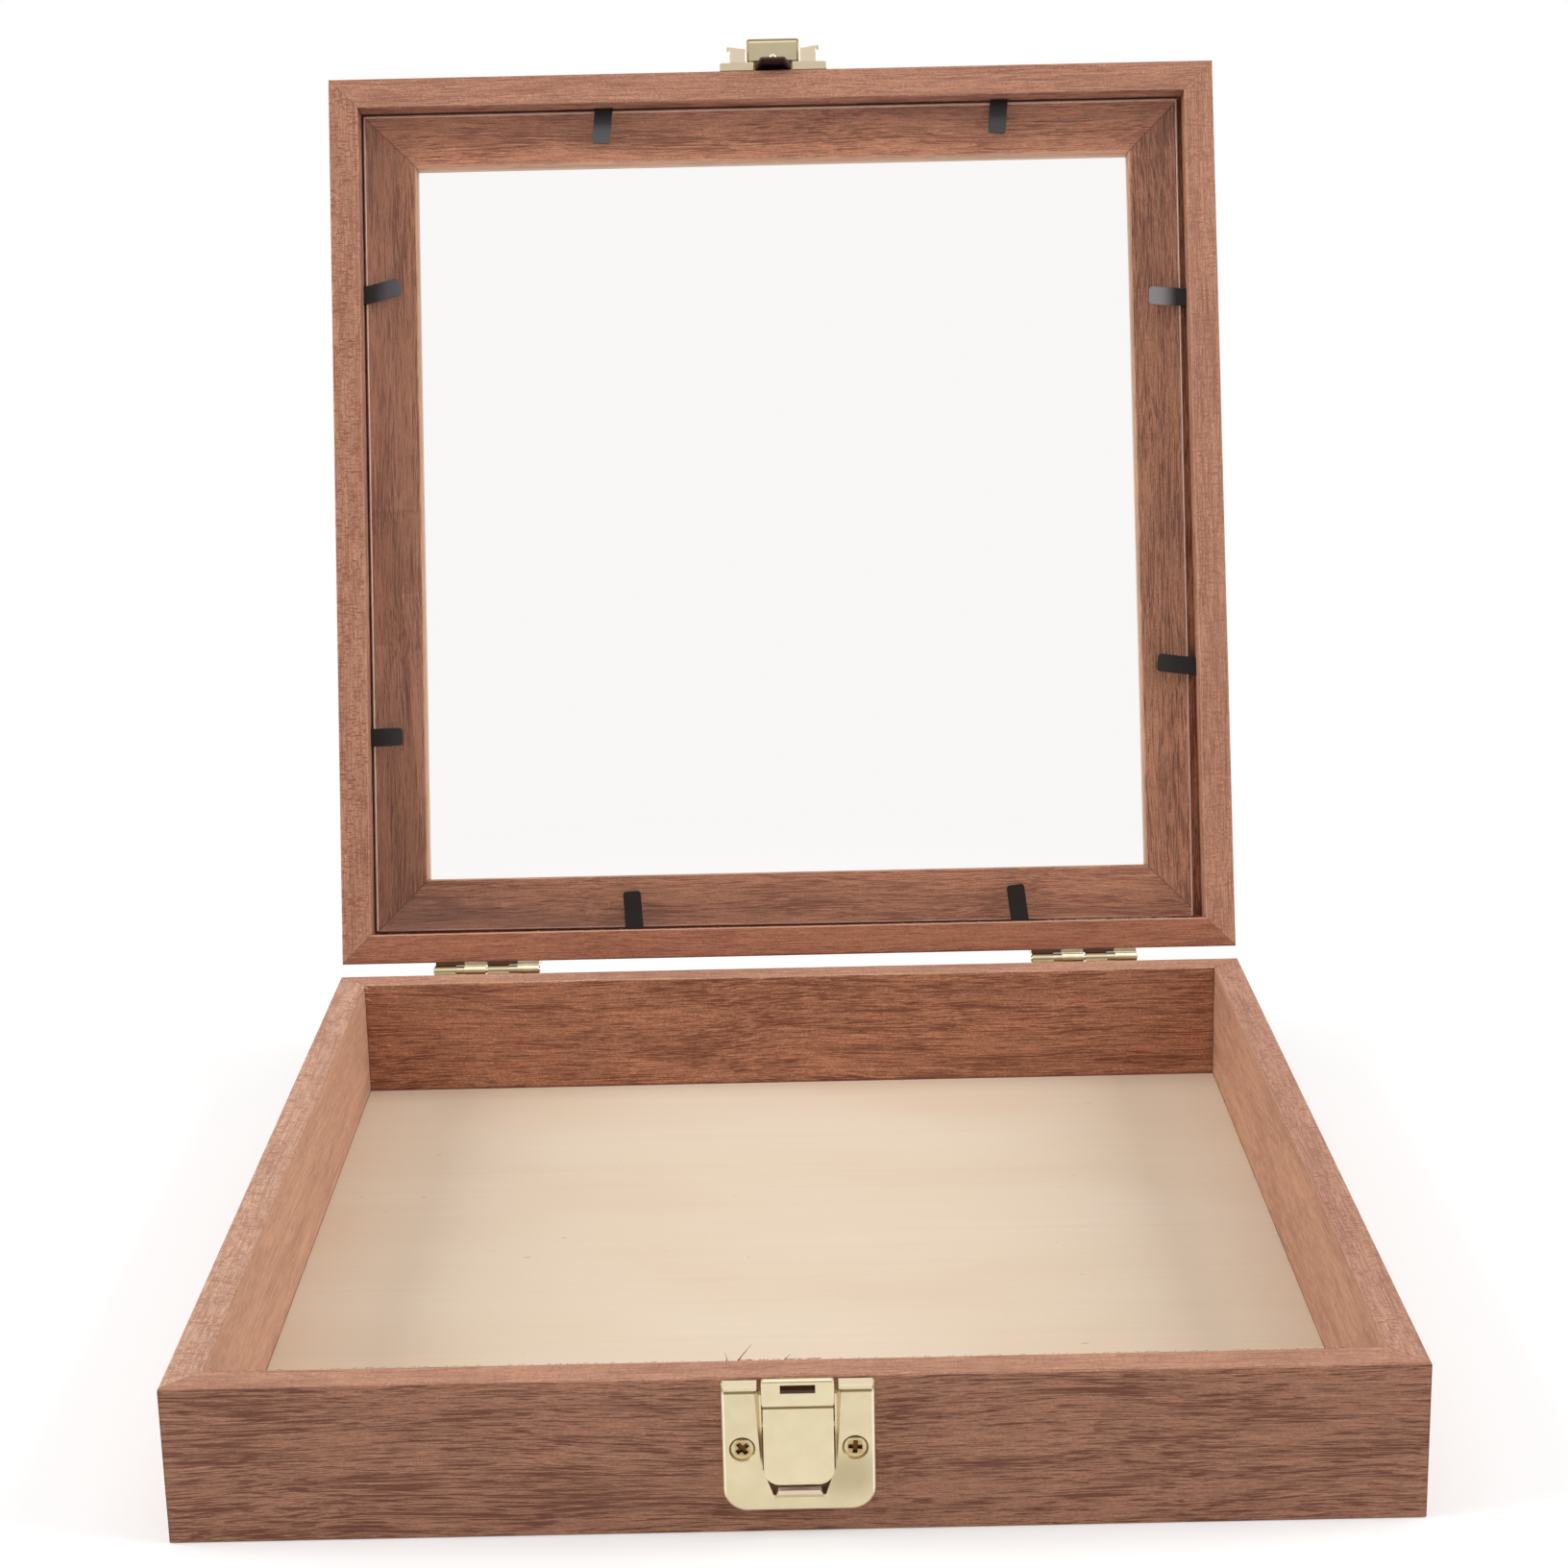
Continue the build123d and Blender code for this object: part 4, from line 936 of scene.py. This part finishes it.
# Heights just off the tray's rim, the panel and the lid's rim
RIM, PANEL, LID_RIM = 26.95, 2.05, 27.35
tray_edges = [
    ((-93.5, -94.0, RIM), (93.5, -94.0, RIM), (0, 1, -0.1)),
    ((-94.0, 93.5, RIM), (-94.0, -93.5, RIM), (1, 0, -0.1)),
    ((94.0, -93.5, RIM), (94.0, 93.5, RIM), (-1, 0, -0.1)),
    ((93.5, 94.0, RIM), (-93.5, 94.0, RIM), (0, -1, -0.1)),
    ((-94.0, 93.5, PANEL), (-94.0, -93.5, PANEL), (0.5, 0, 0.6)),
    ((94.0, -93.5, PANEL), (94.0, 93.5, PANEL), (-0.5, 0, 0.6)),
]
tray_tufts = [
    ((-9.0, -94.0, RIM), (4.0, -94.0, RIM), (0, 1, -0.05)),
    ((-93.9, 93.9, 26.8), (-93.9, 93.9, 22.5), (0.8, -0.8, 0)),
    ((-94.0, -92.0, RIM), (-92.0, -94.0, RIM), (0.3, 0.3, -0.1)),
]
tray_corner = [((-93.9, 93.9, 26.7), (-93.9, 93.9, 23.3), (1, -0.5, 0.1))]
lid_edges = [
    ((-93.0, -93.5, LID_RIM), (93.0, -93.5, LID_RIM), (0, 1, 0.2)),
    ((93.0, 93.5, LID_RIM), (-93.0, 93.5, LID_RIM), (0, -1, 0.2)),
    ((-93.5, 93.0, LID_RIM), (-93.5, -93.0, LID_RIM), (1, 0, 0.2)),
    ((93.5, -93.0, LID_RIM), (93.5, 93.0, LID_RIM), (-1, 0, 0.2)),
]
lid_splinters = [((58.0, 93.5, 27.4), (85.0, 93.5, 27.4), (0, -1, 0.3))]
short_fibres = {
    "Spacing": 0.5 * MM, "Kept share": 0.35, "Shortest": 0.25 * MM, "Longest": 0.9 * MM,
    "Thickness": 0.05 * MM, "Standing off": 0.5, "Seed": 11,
}
long_fibres = {
    **short_fibres, "Spacing": 0.3 * MM, "Kept share": 0.8, "Longest": 1.5 * MM,
    "Thickness": 0.07 * MM, "Seed": 23,
}
corner_fibres = {
    **long_fibres, "Spacing": 0.7 * MM, "Kept share": 1.5, "Shortest": 1.3 * MM,
    "Longest": 2.2 * MM, "Thickness": 0.17 * MM, "Standing off": 8.0, "Seed": 5,
}
on_tray, on_lid = ("tray", "tray_wood", False), ("lid", "lid_wood", True)
torn_fibres("tray_edge_fibres", *on_tray, tray_edges, brown_fibre, short_fibres)
torn_fibres("tray_torn_tufts", *on_tray, tray_tufts, brown_fibre, long_fibres)
torn_fibres("tray_corner_splinters", *on_tray, tray_corner, pale_fibre, corner_fibres)
torn_fibres("lid_edge_fibres", *on_lid, lid_edges, pale_fibre, short_fibres)
torn_fibres("lid_torn_splinters", *on_lid, lid_splinters, pale_fibre, long_fibres)

# %% [markdown]
# Three longer hairs of wood stand up behind the front rim, left of the latch, and curl over the
# pale panel. Each is a tapering tube round a bent line: rings of five points, joined ring by ring,
# with both ends closed.

# %% Three bent hairs on the front rim
HAIR_RINGS = 9
HAIR_SIDES = 5
HAIR_TAPER = 0.85


def bent_hair(start, bend, tip, thickness, points, faces):
    """Add one hair to the points and faces: a curve from its start to its tip, drawn to bend."""
    start, bend, tip = Vector(start), Vector(bend), Vector(tip)
    first = len(points)
    for ring in range(HAIR_RINGS):
        t = ring / (HAIR_RINGS - 1)
        centre = start * (1 - t) ** 2 + bend * 2 * t * (1 - t) + tip * t**2
        ahead = ((bend - start) * (1 - t) + (tip - bend) * t).normalized()
        sideways = ahead.cross(Vector((0, 0, 1))).normalized()
        upwards = sideways.cross(ahead)
        radius = thickness * (1 - HAIR_TAPER * t)
        for side in range(HAIR_SIDES):
            angle = math.tau * side / HAIR_SIDES
            off_centre = sideways * math.cos(angle) + upwards * math.sin(angle)
            points.append((centre + off_centre * radius) * MM)
    for ring in range(HAIR_RINGS - 1):
        for side in range(HAIR_SIDES):
            low = first + ring * HAIR_SIDES + side
            next_low = first + ring * HAIR_SIDES + (side + 1) % HAIR_SIDES
            faces.append((low, next_low, next_low + HAIR_SIDES, low + HAIR_SIDES))
    last = first + (HAIR_RINGS - 1) * HAIR_SIDES
    faces.append(tuple(first + side for side in reversed(range(HAIR_SIDES))))
    faces.append(tuple(last + side for side in range(HAIR_SIDES)))


hair_points, hair_faces = [], []
for start, bend, tip, thickness in (
    ((-8.8, -94.0, 26.9), (-8.1, -92.6, 27.3), (-6.6, -91.8, 28.7), 0.12),
    ((-10.7, -94.0, 26.9), (-10.6, -93.2, 27.0), (-11.0, -92.6, 27.7), 0.09),
    ((-1.5, -94.0, 26.9), (-1.1, -93.3, 27.0), (-0.5, -92.7, 27.2), 0.08),
):
    bent_hair(start, bend, tip, thickness, hair_points, hair_faces)
hair_mesh = bpy.data.meshes.new("tray_stray_hairs")
hair_mesh.from_pydata(hair_points, [], hair_faces)
hair_mesh.materials.append(fibre_finish("wood hair", colour(92, 68, 46), colour(118, 90, 64)))
hair_shape = bmesh.new()
hair_shape.from_mesh(hair_mesh)
bmesh.ops.recalc_face_normals(hair_shape, faces=hair_shape.faces[:])
hair_shape.to_mesh(hair_mesh)
hair_shape.free()
stray_hairs = add_object("tray_stray_hairs", hair_mesh)
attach(stray_hairs, "tray")
print("hair faces:", len(hair_faces))

# %% [markdown]
# ## Floor and backdrop
# The box stands on a plain white floor before a plain white wall, joined by a wide curve so that no
# horizon shows. The floor is a pale grey that takes the box's shadow. On top of it, camera rays,
# mirror rays and rays through the glass see a little added white, which lifts the bare floor to
# pure white without putting more light on the box. The studio is large, so it is given in metres.

# %% Build the sweep and its finish
FLOOR_HALF_WIDTH = 3.0
FLOOR_FRONT = -1.2
BACKDROP_Y = 1.6
BACKDROP_HEIGHT = 3.0
BACKDROP_BEND = 0.9
BEND_STEPS = 24
PAPER_GREY = 0.80
FLOOR_LIFT = 0.30
FADE_FROM, FADE_TO = 0.12, 0.32
sweep_outline = [(FLOOR_FRONT, 0.0), (BACKDROP_Y - BACKDROP_BEND, 0.0)]
for step in range(1, BEND_STEPS + 1):
    angle = math.pi / 2 * step / BEND_STEPS
    bend_y = BACKDROP_Y - BACKDROP_BEND + BACKDROP_BEND * math.sin(angle)
    sweep_outline.append((bend_y, BACKDROP_BEND * (1 - math.cos(angle))))
sweep_outline.append((BACKDROP_Y, BACKDROP_HEIGHT))
sweep_points = [(x, y, z) for y, z in sweep_outline for x in (-FLOOR_HALF_WIDTH, FLOOR_HALF_WIDTH)]
sweep_faces = [(2 * i, 2 * i + 1, 2 * i + 3, 2 * i + 2) for i in range(len(sweep_outline) - 1)]
sweep_mesh = bpy.data.meshes.new("studio_sweep")
sweep_mesh.from_pydata(sweep_points, [], sweep_faces)
sweep_mesh.shade_smooth()
studio_sweep = add_object("studio_sweep", sweep_mesh)


def seen_directly(tree):
    """1 for camera, mirror and glass rays, 0 for the rays that carry light to the object."""
    ray = add_node(tree, "ShaderNodeLightPath").outputs
    kinds = ("Is Camera Ray", "Is Glossy Ray", "Is Transmission Ray")
    return largest(tree, *(ray[kind] for kind in kinds))


sweep_finish, tree, shader = new_finish("studio paper")
paper_surface = {
    "Base Color": (PAPER_GREY, PAPER_GREY, PAPER_GREY, 1.0), "Roughness": 0.9,
    "Specular IOR Level": 0.0, "Emission Color": (1.0,) * 4,
    "Emission Strength": product(tree, seen_directly(tree), FLOOR_LIFT),
}
fill(tree, shader, paper_surface)
# Away from the box the paper fades to plain white for those same rays
distance = vector_maths(tree, "LENGTH", object_place(tree))["Value"]
fade = product(tree, step_between(tree, distance, FADE_FROM, FADE_TO), seen_directly(tree))
plain_white = add_node(tree, "ShaderNodeEmission").outputs["Emission"]
mix_shaders(tree, fade, shader.outputs["BSDF"], plain_white)
sweep_mesh.materials.append(sweep_finish)
print("sweep faces:", len(sweep_faces))

# %% [markdown]
# ## Light
# Soft studio light: a wide lamp overhead, one from each side and a weak fill from the front. The
# world gives an even base light, and its white is seen directly by camera, mirror and glass rays.
# Only the part of the world in front of the box is kept dark for mirror rays, as the room behind a
# photographer is: without that, the pane would veil the wood behind it in grey.

# %% The world and the lamps
WORLD_LIGHT = 0.30
DARK_ROOM = 0.10
ROOM_EDGE, ROOM_MIDDLE = 0.35, 0.75
ROOM_TOP, ROOM_TOP_FADE = 0.62, 0.50
world = bpy.data.worlds.new("studio")
bpy.context.scene.world = world
world.use_nodes = True
tree = world.node_tree
tree.nodes.clear()
around = add_node(tree, "ShaderNodeTexCoord").outputs["Generated"]
direction = separate(tree, around)
to_front = step_between(tree, product(tree, direction["Y"], -1.0), ROOM_EDGE, ROOM_MIDDLE)
to_front = product(tree, to_front, step_between(tree, direction["Z"], ROOM_TOP, ROOM_TOP_FADE))
mirror_ray = add_node(tree, "ShaderNodeLightPath").outputs["Is Glossy Ray"]
white = less(tree, seen_directly(tree), product(tree, to_front, mirror_ray, 1.0 - DARK_ROOM))
strength = maths(tree, "MULTIPLY_ADD", white, 1.0 - WORLD_LIGHT, WORLD_LIGHT)
even_light = {"Color": (1.0,) * 4, "Strength": largest(tree, strength, DARK_ROOM)}
background = add_node(tree, "ShaderNodeBackground", values=even_light)
add_node(tree, "ShaderNodeOutputWorld", values={"Surface": background.outputs[0]})


def soft_lamp(name, place, width, height, power, in_mirrors=True):
    """A rectangular lamp at a place, aimed at the box, that metal and glass mirror or not."""
    lamp = bpy.data.lights.new(name, "AREA")
    lamp.shape = "RECTANGLE"
    lamp.size = width
    lamp.size_y = height
    lamp.energy = power
    holder = add_object(name, lamp)
    holder.rotation_euler = (AIM - Vector(place)).to_track_quat("-Z", "Y").to_euler()
    holder.location = place
    holder.visible_glossy = in_mirrors


AIM = Vector((0.0, 0.0, 0.06))
soft_lamp("overhead", (0.0, 0.0, 1.3), 1.4, 1.2, 4.0)
soft_lamp("front fill", (0.0, -1.5, 0.7), 1.6, 0.9, 1.5, in_mirrors=False)
soft_lamp("left side", (-1.2, -0.1, 0.7), 0.9, 0.9, 12.0)
soft_lamp("right side", (1.2, -0.1, 0.7), 0.9, 0.9, 12.0)
bpy.context.scene.view_settings.view_transform = "Standard"
print("lamps:", len(bpy.data.lights))

# %% [markdown]
# ## Camera
# The photograph was taken from a little above, half a metre in front of the box. The camera's place
# and lens were worked out from the corners of the tray and the lid, whose real sizes are known. The
# camera is turned by its own three axes: which way is right, up and back.

# %% Place the camera
CAMERA_PLACE = Vector((2.041, -516.423, 234.985)) * MM
PITCH, YAW, ROLL = (math.radians(angle) for angle in (-15.04, -0.21, -1.29))
LENS = 66.82
SENSOR = 36.0
ahead_y = math.cos(YAW) * math.cos(PITCH)
forward = Vector((math.sin(YAW) * math.cos(PITCH), ahead_y, math.sin(PITCH)))
level_right = Vector((math.cos(YAW), -math.sin(YAW), 0.0))
level_up = level_right.cross(forward)
right = level_right * math.cos(ROLL) + level_up * math.sin(ROLL)
up = level_up * math.cos(ROLL) - level_right * math.sin(ROLL)
camera_data = bpy.data.cameras.new("camera")
camera_data.lens = LENS
camera_data.sensor_width = SENSOR
camera_data.clip_start = 0.01
camera = add_object("camera", camera_data)
axes = Matrix((right, up, -forward)).transposed().to_4x4()
camera.matrix_world = Matrix.Translation(CAMERA_PLACE) @ axes
bpy.context.scene.camera = camera
print("camera looks along:", [round(c, 3) for c in forward])
